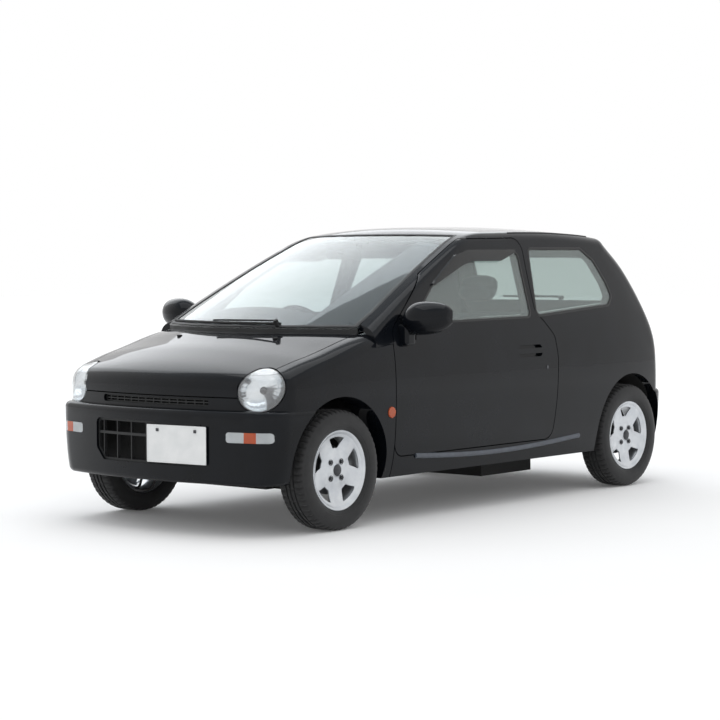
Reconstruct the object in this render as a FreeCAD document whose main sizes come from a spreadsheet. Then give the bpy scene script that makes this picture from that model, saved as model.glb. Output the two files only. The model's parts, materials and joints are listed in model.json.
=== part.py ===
import FreeCAD, Part
import Sketcher
import math
import os

# A three-door kei hatchback, parked on its wheels.
# Stations run forward (+X) from the middle of the wheelbase, +Y is the car's left, +Z is up.
# Every piece is placed so that the origin lies on the ground under the middle of the length.

Vector = FreeCAD.Vector

SIZES = [
    ("wheelbase", 2330), ("front_overhang", 537), ("rear_overhang", 430), ("track", 1212),
    ("body_width", 1394), ("body_height", 1352), ("sill_level", 205), ("overrun", 400),
    # Walls of the body and the gaps between its panels
    ("side_wall", 46), ("roof_wall", 26), ("tail_wall", 44), ("panel_wall", 14),
    ("bonnet_wall", 16), ("bumper_wall", 12), ("floor_thickness", 18), ("liner_wall", 4),
    ("shut_gap", 5), ("seat_gap", 0.3), ("glass_gap", 3), ("glass_thickness", 5),
    ("glass_recess", 4), ("glass_flange", 14), ("pillar_width", 30),
    ("hinge_radius", 7), ("hinge_length", 60), ("hinge_offset", 120), ("hinge_level", 1318),
    # Curves of the body
    ("rail_radius", 62), ("rear_corner_radius", 95), ("crest_radius", 80),
    ("nose_corner_radius", 150), ("bumper_corner_radius", 150), ("bumper_edge_radius", 26),
    ("plan_taper", 30), ("roof_crown", 58), ("bonnet_crown", 64), ("screen_bow", 256),
    ("screen_crown", 14), ("header_blend", 40), ("nose_bow", 112), ("tail_bow", 81),
    ("bumper_bow", 117), ("bumper_proud", 8),
    # Levels above the ground and places along the body
    ("ledge_level", 545), ("bumper_bottom", 222), ("bonnet_lip_level", 601),
    ("rear_ledge_level", 500), ("rear_bumper_bottom", 232), ("boot_level", 400),
    ("heel_setback", 839), ("cowl_width", 24), ("post_depth", 90), ("liner_inner", 562),
    ("wheel_house_inner", 470), ("arch_radius", 312), ("arch_level", 278),
    # Lamps, plates, handles, mirrors and wipers
    ("lamp_long", 211), ("lamp_short", 176), ("lamp_depth", 90), ("lamp_angle", 35),
    ("lamp_lean", 25), ("marker_radius", 25), ("marker_station", 836), ("marker_level", 503),
    ("marker_proud", 5), ("plate_offset", 192), ("plate_bolts", 210),
    ("plate_bolt_radius", 3.5), ("plate_bolt_level", 452), ("rear_plate_level", 740),
    ("handle_setback", 252), ("handle_level", 740), ("handle_length", 200),
    ("handle_well", 58), ("handle_depth", 20), ("handle_bar", 26), ("handle_wall", 9),
    ("mirror_station", 640), ("mirror_level", 925), ("mirror_start", 680),
    ("mirror_reach", 212), ("mirror_length", 124), ("mirror_height", 120),
    ("mirror_foot", 70), ("mirror_foot_height", 96), ("wiper_bar", 12),
    ("slat", 6), ("slat_depth", 16), ("slat_pitch", 48), ("grille_frame", 10),
    # Wheels and running gear
    ("tyre_radius", 266), ("tyre_width", 150), ("tread_width", 122), ("bead_radius", 166),
    ("rim_radius", 178), ("rim_width", 126), ("rim_wall", 7), ("hub_depth", 44),
    ("dish_depth", 16), ("window_inner", 92), ("window_outer", 150), ("kingpin_offset", 66),
    ("knuckle_length", 90), ("knuckle_width", 34), ("knuckle_height", 190),
    ("axle_radius", 16), ("beam_radius", 32), ("arm_thickness", 24), ("strut_radius", 20),
    ("spring_radius", 58), ("rail_width", 46), ("rail_height", 40), ("rail_offset", 318),
    ("rail_nose", 1520), ("radiator_width", 380), ("radiator_height", 330),
    ("radiator_depth", 34), ("engine_length", 420), ("engine_width", 540),
    ("engine_height", 430), ("engine_bottom", 260), ("rail_level", 226),
    ("tank_length", 430), ("tank_width", 640),
    ("tank_height", 110), ("pipe_radius", 20), ("muffler_radius", 60), ("muffler_length", 240),
    ("muffler_level", 314), ("muffler_offset", 400), ("pipe_offset", 139),
    ("pipe_aside", 430), ("pipe_rise", 328), ("tail_pipe_radius", 15), ("tail_pipe_level", 208),
    # Cabin
    ("seat_width", 470), ("seat_length", 480), ("seat_cushion", 150), ("seat_back", 560),
    ("seat_thickness", 110), ("seat_level", 340), ("seat_offset", 310), ("seat_setback", 168),
    ("seat_rake", 22), ("bench_rake", 20), ("seat_edge", 36), ("head_width", 240),
    ("head_height", 150), ("head_thickness", 80), ("head_gap", 40), ("bench_width", 874),
    ("bench_cushion", 160), ("dash_depth", 330), ("dash_height", 330), ("dash_top", 868),
    ("grip_circle", 182), ("grip_radius", 13), ("column_radius", 14), ("column_rake", 25), ("boss_radius", 48), ("spoke_radius", 10),
]

# Shares of the body: a station is -2 at the tail, -1 and 1 at the axles and 2 at the nose;
# a level is 0 at the ground and 1 at the roof; a breadth is 0 at the middle and 1 at the side.
WIDTH_SHARES = [(0.141, 0.933), (0.192, 0.963), (0.281, 0.99), (0.385, 1.0), (0.473, 1.0),
                (0.562, 0.987), (0.651, 0.953), (0.74, 0.902), (0.851, 0.835), (0.962, 0.765),
                (1.05, 0.706)]
ROOF_SHARES = [(-1.547, 0.933), (-0.987, 0.973), (-0.773, 0.991), (-0.515, 1.0), (-0.258, 1.0),
               (0, 0.993), (0.215, 0.978), (0.429, 0.954)]
BONNET_SHARES = [(0.429, 0.68), (0.773, 0.672), (0.931, 0.645), (1.102, 0.617), (1.345, 0.592),
                 (1.587, 0.562), (1.736, 0.541), (1.885, 0.512), (1.996, 0.484)]
TAIL_SHARES = [(0.148, -1.884), (0.37, -1.884), (0.473, -1.872), (0.558, -1.849),
               (0.622, -1.779), (0.744, -1.593), (0.858, -1.337), (0.962, -1.035),
               (1.006, -0.957), (1.05, -0.897)]
DOOR_SHARES = [(0.688, 0.222), (0.688, 0.477), (0.688, 0.592), (0.674, 0.651), (0.549, 0.734),
               (0.403, 0.825), (0.203, 0.927), (0.103, 0.949), (-0.319, 0.954), (-0.302, 0.814),
               (-0.292, 0.688), (-0.343, 0.651), (-0.403, 0.597), (-0.414, 0.513),
               (-0.403, 0.376), (-0.378, 0.222)]
DOOR_GLASS_SHARES = [(0.549, 0.661), (0.369, 0.786), (0.172, 0.884), (0.077, 0.904),
                     (-0.276, 0.905), (-0.259, 0.667)]
QUARTER_SHARES = [(-0.3, 0.669), (-0.359, 0.917), (-0.755, 0.917), (-0.836, 0.873),
                  (-0.895, 0.788), (-0.912, 0.732), (-0.867, 0.699)]
BONNET_SIDE_SHARES = [(0.811, 0.849), (1.251, 0.846), (1.624, 0.811), (1.736, 0.746),
                      (1.81, 0.674)]
TAILGATE_SHARES = [(0.7, 0.374), (0.725, 0.5), (0.745, 0.645), (0.79, 0.69), (0.655, 0.97),
                   (0.64, 1.05)]
TAILGATE_GLASS_SHARES = [(0.7, 0.7), (0.575, 0.925)]
TAIL_LAMP_SHARES = [(0.76, 0.475), (1.05, 0.475), (1.05, 0.64), (0.78, 0.64)]
GRILLE_SHARES = [(0.4, 0.222), (0.475, 0.262), (0.475, 0.36)]
SIGNAL_SHARES = [(0.64, 0.303), (0.93, 0.303), (0.93, 0.336), (0.64, 0.336)]
SLOT_SHARES = [(0.467, 0.413), (0.467, 0.436)]
# Share of the mirror's reach, then of its height and length, and its rise at that place
MIRROR_SHARES = [(0, 0.5, 0.8, -0.15), (0.25, 0.92, 1, -0.04), (0.6, 1, 0.92, 0),
                 (0.88, 0.82, 0.66, 0.03), (1, 0.45, 0.35, 0.05)]
FRONT_WIPER_SHARES = [(0.35, -0.32), (-0.2, -0.78)]
REAR_WIPER_SHARES = (0.06, -0.46)
rear_wiper_level_share = 0.725

# Single shares of the body: where its forms begin, end and turn
screen_foot_share = 0.97
screen_level_share = 0.6546
screen_slope_share = 0.446
screen_run_share = 0.841
screen_top_half_share = 0.67
screen_foot_half_share = 0.845
header_share = 0.146
taper_start_share = 0.73
taper_span_share = 0.6
nose_share = 1.918
roof_half_share = 0.735
roof_front_share = 0.163
roof_end_share = -0.966
roof_low_share = 0.85
scuttle_share = 0.4
belt_share = 0.5
door_front_share = 0.688
cowl_back_share = 0.794
bulkhead_share = 0.81
inner_side_share = 0.75
post_share = 0.5
nose_strip_share = 0.8
lamp_station_share = 1.726
lamp_breadth_share = 0.81
lamp_level_share = 0.467
tail_lamp_end_share = -1.6
cabin_front_share = 1.3
front_back_share = 0.43
bonnet_back_share = 0.3
rear_corner_share = 0.55
front_corner_share = 0.33
nose_corner_share = 1.7
crest_share = 0.9
rail_shares = (-0.5, 0.5)
rail_side_share = 0.8
tab_share = 0.6
handle_round_share = 0.4
rail_depth_share = 0.7
smallest_share = 0.0001
arc_room_share = 0.48
straight_share = 0.02


class Sizes:
    """Reads a driving dimension from the sheet by its name."""

    def __init__(self, sheet):
        self.sheet = sheet

    def __getattr__(self, name):
        return float(self.sheet.get(name))


doc = FreeCAD.newDocument("kei_car")
sheet = doc.addObject("Spreadsheet::Sheet", "Sizes")
for index, (name, value) in enumerate(SIZES):
    row = index + 1
    sheet.set("A%d" % row, name)
    sheet.set("B%d" % row, str(value))
    sheet.setAlias("B%d" % row, name)
doc.recompute()
size = Sizes(sheet)

half_base = size.wheelbase / 2
half_width = size.body_width / 2
half_track = size.track / 2
forward = Vector(1, 0, 0)
left = Vector(0, 1, 0)
up = Vector(0, 0, 1)


# Places on the body

def station(share):
    if share > 1:
        return half_base + (share - 1) * size.front_overhang
    if share < -1:
        return -half_base + (share + 1) * size.rear_overhang
    return share * half_base


def level(share):
    return share * size.body_height


def breadth(share):
    return share * half_width


nose_x = station(2)
tail_x = station(-2)
middle_x = (nose_x + tail_x) / 2
scale_unit = size.body_height


def spline(points):
    """A natural cubic through the points, continued straight past both ends."""
    xs = [p[0] for p in points]
    ys = [p[1] for p in points]
    last = len(xs) - 1
    steps = [xs[i + 1] - xs[i] for i in range(last)]
    slopes = [(ys[i + 1] - ys[i]) / steps[i] for i in range(last)]
    diagonal, carry = [1.0], [0.0]
    right = [0.0]
    for i in range(1, last):
        pivot = 2 * (xs[i + 1] - xs[i - 1]) - steps[i - 1] * carry[i - 1]
        diagonal.append(pivot)
        carry.append(steps[i] / pivot)
        right.append((3 * (slopes[i] - slopes[i - 1]) - steps[i - 1] * right[i - 1]) / pivot)
    bend = [0.0] * (last + 1)
    for i in range(last - 1, 0, -1):
        bend[i] = right[i] - carry[i] * bend[i + 1]

    def value(x):
        i = 0
        while i < last - 1 and x > xs[i + 1]:
            i += 1
        start = slopes[i] - steps[i] * (bend[i + 1] + 2 * bend[i]) / 3
        curl = (bend[i + 1] - bend[i]) / (3 * steps[i])
        run = min(max(x - xs[i], 0), steps[i])
        beyond = x - xs[i] - run
        slope = start + 2 * bend[i] * run + 3 * curl * run * run
        return ys[i] + start * run + bend[i] * run ** 2 + curl * run ** 3 + slope * beyond

    return value


width_at = spline([(level(a), breadth(b)) for a, b in WIDTH_SHARES])
roof_at = spline([(station(a), level(b)) for a, b in ROOF_SHARES])
bonnet_at = spline([(station(a), level(b)) for a, b in BONNET_SHARES])
tail_at = spline([(level(a), station(b)) for a, b in TAIL_SHARES])

# The body's surfaces, as heights over or distances from the middle planes

def side_y(x, z):
    past = max(0, abs(x) - taper_start_share * half_base) / (taper_span_share * half_base)
    return width_at(z) - size.plan_taper * past ** 2


def bow(y, depth):
    return depth * (y / half_width) ** 2


def roof_z(x, y):
    return roof_at(x) - bow(y, size.roof_crown)


def screen_z(x, y):
    back = station(screen_foot_share) - x - bow(y, size.screen_bow)
    part = back / (screen_run_share * half_base)
    crown = size.screen_crown * 4 * part * (1 - part)
    if part < 0 or part > 1:
        crown = 4 * size.screen_crown * (part if part < 0 else 1 - part)
    return level(screen_level_share) + back * screen_slope_share + crown


def cabin_top_z(x, y):
    roof = roof_z(x, y)
    screen = screen_z(x, y)
    near = max(size.header_blend - abs(roof - screen), 0)
    return min(roof, screen) - near ** 2 / (4 * size.header_blend)


def bonnet_z(x, y):
    return bonnet_at(x) - bow(y, size.bonnet_crown)


def nose_face_x(y, z):
    return station(nose_share) - bow(y, size.nose_bow)


def tail_face_x(y, z):
    return tail_at(z) + bow(y, size.tail_bow)


def bumper_face_x(y, z):
    return nose_x - bow(y, size.bumper_bow)


def rear_bumper_face_x(y, z):
    return tail_x + bow(y, size.tail_bow)


def steps(start, end, count):
    return [start + (end - start) * i / (count - 1) for i in range(count)]


def skin(point, first, second):
    """One smooth face through the points that the function gives over a grid."""
    surface = Part.BSplineSurface()
    surface.interpolate([[Vector(*point(u, v)) for v in second] for u in first])
    return surface.toShape()


over = size.overrun
wide = steps(-half_width - over / 2, half_width + over / 2, 7)
tall = steps(size.sill_level / 2, size.body_height + over / 4, 11)


def side_skin(depth, start=tail_x - over / 2, end=nose_x + over / 2):
    return skin(lambda x, z: (x, side_y(x, z) - depth, z), steps(start, end, 11), tall)


def cabin_top_skin(depth):
    along = steps(tail_x - over / 2, nose_x, 25)
    return skin(lambda x, y: (x, y, cabin_top_z(x, y) - depth), along, wide)


def bonnet_skin(depth):
    along = steps(station(bonnet_back_share), nose_x + over / 2, 15)
    return skin(lambda x, y: (x, y, bonnet_z(x, y) - depth), along, wide)


def cross_skin(face_x, depth):
    return skin(lambda y, z: (face_x(y, z) + depth, y, z), wide, tall)


def both_sides(shape):
    return [shape, shape.mirror(Vector(), left)]


def block(x0, x1, y0, y1, z0, z1):
    corner = Vector(min(x0, x1), min(y0, y1), min(z0, z1))
    return Part.makeBox(abs(x1 - x0), abs(y1 - y0), abs(z1 - z0), corner)


def nearest_edges(shape, places):
    found = []
    for place in places:
        vertex = Part.Vertex(Vector(*place))
        edge = min(shape.Edges, key=lambda e: e.distToShape(vertex)[0])
        if not any(edge.isSame(other) for other in found):
            found.append(edge)
    return found


def rounded(shape, radius, places):
    return shape.makeFillet(radius, nearest_edges(shape, places))


def cabin_body(side=0, top=0, tail=0, bottom=0):
    """The closed cabin with its tail, to the given depths inside the outer skin."""
    body = block(tail_x - over / 4, station(cabin_front_share), -half_width - over / 4,
                 half_width + over / 4, size.sill_level + bottom, size.body_height + over / 8)
    for cut in both_sides(side_skin(side).extrude(left * over * 2)):
        body = body.cut(cut)
    body = body.cut(cabin_top_skin(top).extrude(up * over * 3))
    body = body.cut(cross_skin(tail_face_x, tail).extrude(-forward * over * 3))
    body = body.Solids[0]
    corner_z = level(rear_corner_share)
    corner_y = side_y(tail_x, corner_z)
    corners = [(tail_face_x(corner_y, corner_z), y, corner_z) for y in (corner_y, -corner_y)]
    body = rounded(body, size.rear_corner_radius - max(tail, side), corners)
    rails = []
    for share in rail_shares:
        rail_x = station(share)
        for y in (half_width, -half_width):
            rail_z = cabin_top_z(rail_x, y * rail_side_share)
            rails.append((rail_x, y / half_width * side_y(rail_x, rail_z), rail_z))
    back_z = roof_z(station(-1), 0)
    rails.append((tail_face_x(0, back_z), 0, back_z))
    return rounded(body, size.rail_radius - max(top, side) * rail_depth_share, rails)


def front_body(side=0, top=0, nose=0, bottom=0):
    """The closed front end under the bonnet, from behind the screen's foot to the nose."""
    body = block(station(front_back_share), nose_x + over / 4, -half_width - over / 4,
                 half_width + over / 4, size.sill_level + bottom, size.body_height)
    for cut in both_sides(side_skin(side).extrude(left * over * 2)):
        body = body.cut(cut)
    body = body.cut(bonnet_skin(top).extrude(up * over * 2))
    body = body.cut(cross_skin(nose_face_x, -nose).extrude(forward * over * 2))
    body = body.Solids[0]
    corner_z = level(front_corner_share)
    corner_y = side_y(station(nose_corner_share), corner_z)
    corners = [(nose_face_x(corner_y, corner_z), y, corner_z) for y in (corner_y, -corner_y)]
    body = rounded(body, size.nose_corner_radius - max(nose, side), corners)
    rail_x = station(crest_share)
    rail_z = bonnet_z(rail_x, half_width)
    rails = [(rail_x, y, rail_z) for y in (side_y(rail_x, rail_z), -side_y(rail_x, rail_z))]
    rails.append((nose_face_x(0, 0), 0, bonnet_z(nose_face_x(0, 0), 0)))
    return rounded(body, size.crest_radius - max(top, side), rails)


def bumper_body(face_x, rear, inset=0, lid=0):
    """The closed outer form of a bumper: inset by its wall, with a thicker lid on top."""
    sign = -1 if rear else 1
    bottom = size.rear_bumper_bottom if rear else size.bumper_bottom
    top = (size.rear_ledge_level if rear else size.ledge_level) - lid
    body = block(sign * half_base, sign * (half_base + over * 2), -half_width - over / 4,
                 half_width + over / 4, bottom - (over / 4 if inset else 0), top)
    for cut in both_sides(side_skin(inset - size.bumper_proud).extrude(left * over * 2)):
        body = body.cut(cut)
    body = body.cut(cross_skin(face_x, -sign * inset).extrude(forward * sign * over * 3)).Solids[0]
    corner_z = (top + bottom) / 2
    corner_y = side_y(sign * (half_base + over), corner_z)
    corners = [(face_x(corner_y, corner_z), y, corner_z) for y in (corner_y, -corner_y)]
    body = rounded(body, size.bumper_corner_radius - inset, corners)
    if inset:
        return body
    rim = [(face_x(0, bottom), 0, z) for z in (top, bottom)]
    return rounded(body, size.bumper_edge_radius, rim)


# Outlines cut straight through the body

def ring(points, radius=0):
    """A closed wire through the points, its corners rounded as far as its sides allow."""
    edges = []
    arcs = []
    count = len(points)
    for i in range(count):
        before, here, after = points[i - 1], points[i], points[(i + 1) % count]
        back, ahead = before - here, after - here
        half = back.getAngle(ahead) / 2
        room = arc_room_share * min(back.Length, ahead.Length)
        reach = min(radius / math.tan(half), room) if radius else 0
        back.normalize()
        ahead.normalize()
        middle = (back + ahead)
        if reach < scale_unit * smallest_share or middle.Length < straight_share:
            arcs.append((here, None, here))
            continue
        middle.normalize()
        bend = reach * math.tan(half)
        top = here + middle * (bend / math.sin(half) - bend)
        arcs.append((here + back * reach, top, here + ahead * reach))
    for i in range(count):
        start, top, end = arcs[i]
        if top is not None:
            edges.append(Part.Arc(start, top, end).toShape())
        edges.append(Part.makeLine(end, arcs[(i + 1) % count][0]))
    return Part.Wire(edges)


def prism(points, along, length, grow=0, radius=0):
    wire = ring(points, radius)
    if grow:
        wire = wire.makeOffset2D(grow, 2)
    return Part.Face(wire).extrude(along * length)


def side_prism(shares, grow=0, radius=0, hand=1):
    """A prism across one side of the car, from an outline of station and level shares."""
    y = hand * half_width / 2
    points = [Vector(station(a), y, level(b)) for a, b in shares]
    return prism(points, left, hand * half_width, grow, radius)


def plan_prism(points, low, high, grow=0, radius=0):
    return prism([Vector(x, y, low) for x, y in points], up, high - low, grow, radius)


def end_prism(points, start, end, grow=0, radius=0):
    return prism([Vector(start, y, z) for y, z in points], forward, end - start, grow, radius)


def joined(first, *others):
    result = first
    for other in others:
        result = result.fuse(other)
    return result.removeSplitter()


def solid_of(shape):
    """The largest solid of a cut shape, where a cut leaves slivers beside it."""
    return max(shape.Solids, key=lambda solid: solid.Volume)


def rod(start, end, radius):
    run = end - start
    return Part.makeCylinder(radius, run.Length, start, run)


def arch(front, radius, inner=0):
    x = half_base if front else -half_base
    length = half_width + over - inner
    return Part.makeCylinder(radius, length, Vector(x, inner, size.arch_level), left)


# The cabin, its tail and the front end, as closed outer and inner forms

cabin = cabin_body()
cavity = cabin_body(size.side_wall, size.roof_wall, size.tail_wall, size.floor_thickness)
front = front_body()
bay = front_body(size.panel_wall, size.bonnet_wall, size.panel_wall, -over / 8)
front_seat = front_body(-size.seat_gap, -size.seat_gap, -size.seat_gap, -over / 5)
bay_seat = front_body(size.panel_wall + size.seat_gap, size.bonnet_wall + size.seat_gap,
                      size.panel_wall + size.seat_gap, -over / 5)
shell = cabin.cut(cavity)
front_shell = front.cut(bay)
left_half = block(tail_x - over, nose_x + over, 0, half_width + over, 0, size.body_height + over)
shell_left = shell.common(left_half)
front_left = front_shell.common(left_half)
bottom = size.sill_level - over
top = size.body_height + over
pane_seat = size.glass_recess + size.glass_thickness + size.seat_gap


def header_x(y):
    return station(header_share) - bow(y, size.screen_bow)


def screen_foot_x(y):
    return station(screen_foot_share) - bow(y, size.screen_bow)


def bonnet_back_x(y):
    return screen_foot_x(y) + size.cowl_width


def screen_outline():
    top_half = breadth(screen_top_half_share)
    foot_half = breadth(screen_foot_half_share)
    header = [(header_x(y), y) for y in steps(-top_half, top_half, 9)]
    foot = [(screen_foot_x(y), y) for y in steps(foot_half, -foot_half, 9)]
    return header + foot


def bonnet_outline():
    sides = [(station(a), breadth(b)) for a, b in BONNET_SIDE_SHARES]
    nose = [(nose_x + over, sides[-1][1]), (nose_x + over, -sides[-1][1])]
    back = [(bonnet_back_x(y), y) for y in steps(-sides[0][1], sides[0][1], 9)]
    return back + sides[1:] + nose + [(x, -y) for x, y in reversed(sides[1:])]


def lamp_axis():
    angle = math.radians(size.lamp_angle)
    return Vector(math.cos(angle), math.sin(angle), 0)


def lamp_form(grow, hand=1):
    """An elliptic cylinder along the lamp's own axis, its long axis leaning to the rear."""
    axis = lamp_axis()
    aside = up.cross(axis)
    lean = math.radians(size.lamp_lean)
    long_way = aside * math.cos(lean) + up * math.sin(lean)
    centre = Vector(station(lamp_station_share), breadth(lamp_breadth_share),
                    level(lamp_level_share))
    start = centre - axis * size.lamp_depth
    ellipse = Part.Ellipse(start + long_way * (size.lamp_long / 2 + grow),
                           start + axis.cross(long_way) * (size.lamp_short / 2 + grow), start)
    form = Part.Face(Part.Wire(ellipse.toShape())).extrude(axis * over)
    return form if hand > 0 else form.mirror(Vector(), left)


def end_outline(shares, mirror=True):
    half = [(breadth(a), level(b)) for a, b in shares]
    return half + [(-y, z) for y, z in reversed(half)] if mirror else half


screen_prism = plan_prism(screen_outline(), level(belt_share), top)
screen_through = plan_prism(screen_outline(), level(belt_share), top, -size.glass_flange)
screen_rebate = plan_prism(screen_outline(), level(belt_share), top, size.glass_gap)
foot_half = breadth(screen_foot_half_share)
foot_line = [(screen_foot_x(y) - size.glass_flange, y) for y in steps(-foot_half, foot_half, 9)]
ahead_of_screen = plan_prism(foot_line + [(nose_x, foot_half), (nose_x, -foot_half)],
                             level(belt_share), top)
bonnet_prism = plan_prism(bonnet_outline(), size.bonnet_lip_level, top)
roof_side = breadth(roof_half_share)
roof_prism = plan_prism([(station(roof_end_share), roof_side), (station(roof_end_share), -roof_side),
                         (station(roof_front_share), -roof_side),
                         (station(roof_front_share), roof_side)],
                        level(roof_low_share), top)
tail_start = station(roof_end_share) - size.shut_gap
tailgate_prism = end_prism(end_outline(TAILGATE_SHARES), tail_x - over, tail_start)
tailgate_clear = end_prism(end_outline(TAILGATE_SHARES), tail_x - over,
                           station(roof_end_share), size.shut_gap)
tail_lamp_block = end_prism(end_outline(TAIL_LAMP_SHARES, False), tail_x - over, station(tail_lamp_end_share))
tail_lamp_clear = end_prism(end_outline(TAIL_LAMP_SHARES, False), tail_x - over, station(tail_lamp_end_share),
                            size.seat_gap)
front_arch = arch(True, size.arch_radius)
rear_arch = arch(False, size.arch_radius)
pillar_zone = plan_prism(screen_outline(), level(belt_share), top, size.pillar_width + size.shut_gap)
pillar_clear = plan_prism(screen_outline(), level(belt_share), top, size.pillar_width)
door_prism = side_prism(DOOR_SHARES, 0, size.rail_radius).cut(pillar_zone)
door_clear = side_prism(DOOR_SHARES, size.shut_gap, size.rail_radius).cut(pillar_clear)


def side_slab(depth, reach):
    return side_skin(depth).extrude(left * reach)


def top_slab(depth, reach):
    return cabin_top_skin(depth).extrude(up * reach)


def tail_slab(depth, reach):
    return cross_skin(tail_face_x, depth).extrude(-forward * reach)


side_pane = side_slab(size.glass_recess + size.glass_thickness, size.glass_thickness)
side_rebate = side_slab(pane_seat, over)
top_pane = top_slab(size.glass_recess + size.glass_thickness, size.glass_thickness)
top_rebate = top_slab(pane_seat, over)
tail_pane = tail_slab(size.glass_recess + size.glass_thickness, size.glass_thickness)
tail_rebate = tail_slab(pane_seat, over)


def glazed(panel, through, wider, rebate):
    """The panel with its window cut, and a rebate that the pane lies in."""
    return panel.cut(through).cut(wider.common(rebate))


# The fixed body

def make_side():
    """The side from the tail to the door's front edge, with the post that the door hangs on."""
    front_x = station(door_front_share)
    quarter = [side_prism(QUARTER_SHARES, -size.glass_flange, window_radius),
               side_prism(QUARTER_SHARES, size.glass_gap, window_radius).common(side_rebate)]
    rear = shell_left.common(block(tail_x - over, front_x, shell_inner, half_width + over, 0, top))
    rear = rear.cut([roof_prism_clear, tailgate_clear, door_clear, tail_lamp_clear, rear_arch,
                     tail_floor_cut] + quarter)
    post = shell_left.common(block(front_x, station(cowl_back_share), shell_inner,
                                   half_width + over, 0, top))
    edge = shell_left.common(block(tail_x - over, station(bulkhead_share) + size.post_depth,
                                   breadth(post_share), shell_inner, size.rear_ledge_level, top))
    post = post.cut(front_seat).fuse(post.common(bay_seat))
    edge = edge.cut([front_seat, roof_prism_clear, tailgate_clear, door_clear, tail_lamp_clear])
    panel = rear.fuse([post, edge]).cut([ahead_of_screen, front_arch_clear,
                                         screen_rebate.common(top_rebate)])
    return solid_of(panel)


def make_quarter_glass():
    return solid_of(side_prism(QUARTER_SHARES, 0, window_radius).common(side_pane))


roof_prism_clear = plan_prism([(station(roof_end_share) - size.shut_gap, roof_side),
                               (station(roof_end_share) - size.shut_gap, -roof_side),
                               (station(roof_front_share), -roof_side),
                               (station(roof_front_share), roof_side)],
                              level(roof_low_share), top, size.seat_gap)
front_arch_clear = arch(True, size.arch_radius + size.liner_wall + size.seat_gap)
window_radius = size.rail_radius / 2
shell_inner = breadth(inner_side_share)
tail_floor_level = size.rear_bumper_bottom + size.bumper_edge_radius
tail_floor_cut = block(tail_x - over, station(-1) - size.arch_radius, -over * 3, over * 3, 0,
                       tail_floor_level)


def hinge_pins(grow):
    """The tailgate's two hinge pins over the end of the roof."""
    x = station(roof_end_share) - size.shut_gap / 2
    half = size.hinge_length / 2 + grow
    return [rod(Vector(x, y - half, size.hinge_level), Vector(x, y + half, size.hinge_level),
                size.hinge_radius + grow) for y in (size.hinge_offset, -size.hinge_offset)]


def make_roof():
    """The roof's panel, which carries the hinges' pins on two leaves."""
    panel = shell.common(roof_prism)
    panel = panel.cut([screen_through, screen_rebate.common(top_rebate)] + both_sides(door_clear))
    x = station(roof_end_share) - size.shut_gap / 2
    leaf = block(x, x + size.hinge_length, size.hinge_offset - size.hinge_length / 2,
                 size.hinge_offset + size.hinge_length / 2, size.hinge_level - size.roof_wall / 2,
                 size.hinge_level + size.hinge_radius / 2)
    return solid_of(panel.fuse(both_sides(leaf) + hinge_pins(0)))


def make_screen():
    return solid_of(screen_prism.common(top_pane))


def make_floor():
    """The floor with the rear seat's heel board, the boot floor and both wheel houses."""
    inner = shell_inner - size.seat_gap
    heel = -size.heel_setback
    rise = size.boot_level + size.floor_thickness
    floor = shell.common(block(tail_x - over, station(bulkhead_share), -inner, inner, 0,
                               size.rear_ledge_level - size.seat_gap))
    floor = floor.cut(block(tail_x - over, heel, -over * 3, over * 3, 0, tail_floor_level))
    forms = [block(tail_x, heel + size.floor_thickness, -half_width, half_width,
                   size.boot_level, rise),
             block(heel, heel + size.floor_thickness, -half_width, half_width, 0, rise)]
    hollows = []
    for hand in (1, -1):
        start = Vector(-half_base, hand * size.wheel_house_inner, size.arch_level)
        wall = left * hand * size.floor_thickness
        house = Part.makeCylinder(size.arch_radius + size.floor_thickness, half_width, start,
                                  left * hand)
        forms.append(house.common(block(tail_x, 0, -half_width, half_width, size.boot_level, top)))
        hollows.append(Part.makeCylinder(size.arch_radius, half_width, start + wall, left * hand))
    inside = forms[0].fuse(forms[1:]).common(cavity)
    clear = front_houses(size.floor_thickness + size.seat_gap)
    return solid_of(floor.fuse(inside).cut(hollows + clear).removeSplitter())


def front_houses(wall):
    """The rooms that the steered wheels need, grown by a wall, ahead of the foot wells."""
    radius = size.arch_radius + size.liner_wall + size.seat_gap + wall
    start = breadth(post_share) - wall
    room = Part.makeCylinder(radius, shell_inner - start, Vector(half_base, start,
                             size.arch_level), left)
    return both_sides(room.common(block(0, half_base, 0, half_width, 0, top)))


def make_bulkhead():
    """The wall behind the engine, with a house over each steered wheel on the foot well's side."""
    back = station(bulkhead_share)
    front_x = back + size.floor_thickness
    room = cavity.common(block(0, front_x, -shell_inner, shell_inner, 0, top))
    plate = bay_seat.common(cavity).common(block(back, front_x, -half_width, half_width, 0, top))
    houses = [house.common(room) for house in front_houses(size.floor_thickness)]
    sills = [house.common(block(0, front_x, -shell_inner, shell_inner, size.sill_level, top))
             for house in front_houses(size.floor_thickness)]
    arches = both_sides(arch(True, size.arch_radius + size.liner_wall + size.seat_gap,
                             breadth(post_share)))
    return solid_of(plate.fuse(houses + sills).cut(arches).removeSplitter())


def make_cowl():
    rear = [(station(bulkhead_share), y) for y in (foot_half, -foot_half)]
    outline = [(bonnet_back_x(y) - size.shut_gap, y) for y in steps(-foot_half, foot_half, 9)]
    low = plan_prism(outline + rear, level(belt_share), top)
    ahead = plan_prism([(screen_foot_x(y) + size.glass_gap, y)
                        for y in steps(-half_width, half_width, 9)]
                       + [(nose_x, half_width), (nose_x, -half_width)], level(belt_share), top)
    body = cabin.cut(top_rebate).common(low)
    body = body.cut(ahead.common(bonnet_skin(0).extrude(up * over)))
    return solid_of(body.cut([bay] + both_sides(side)))


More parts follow.
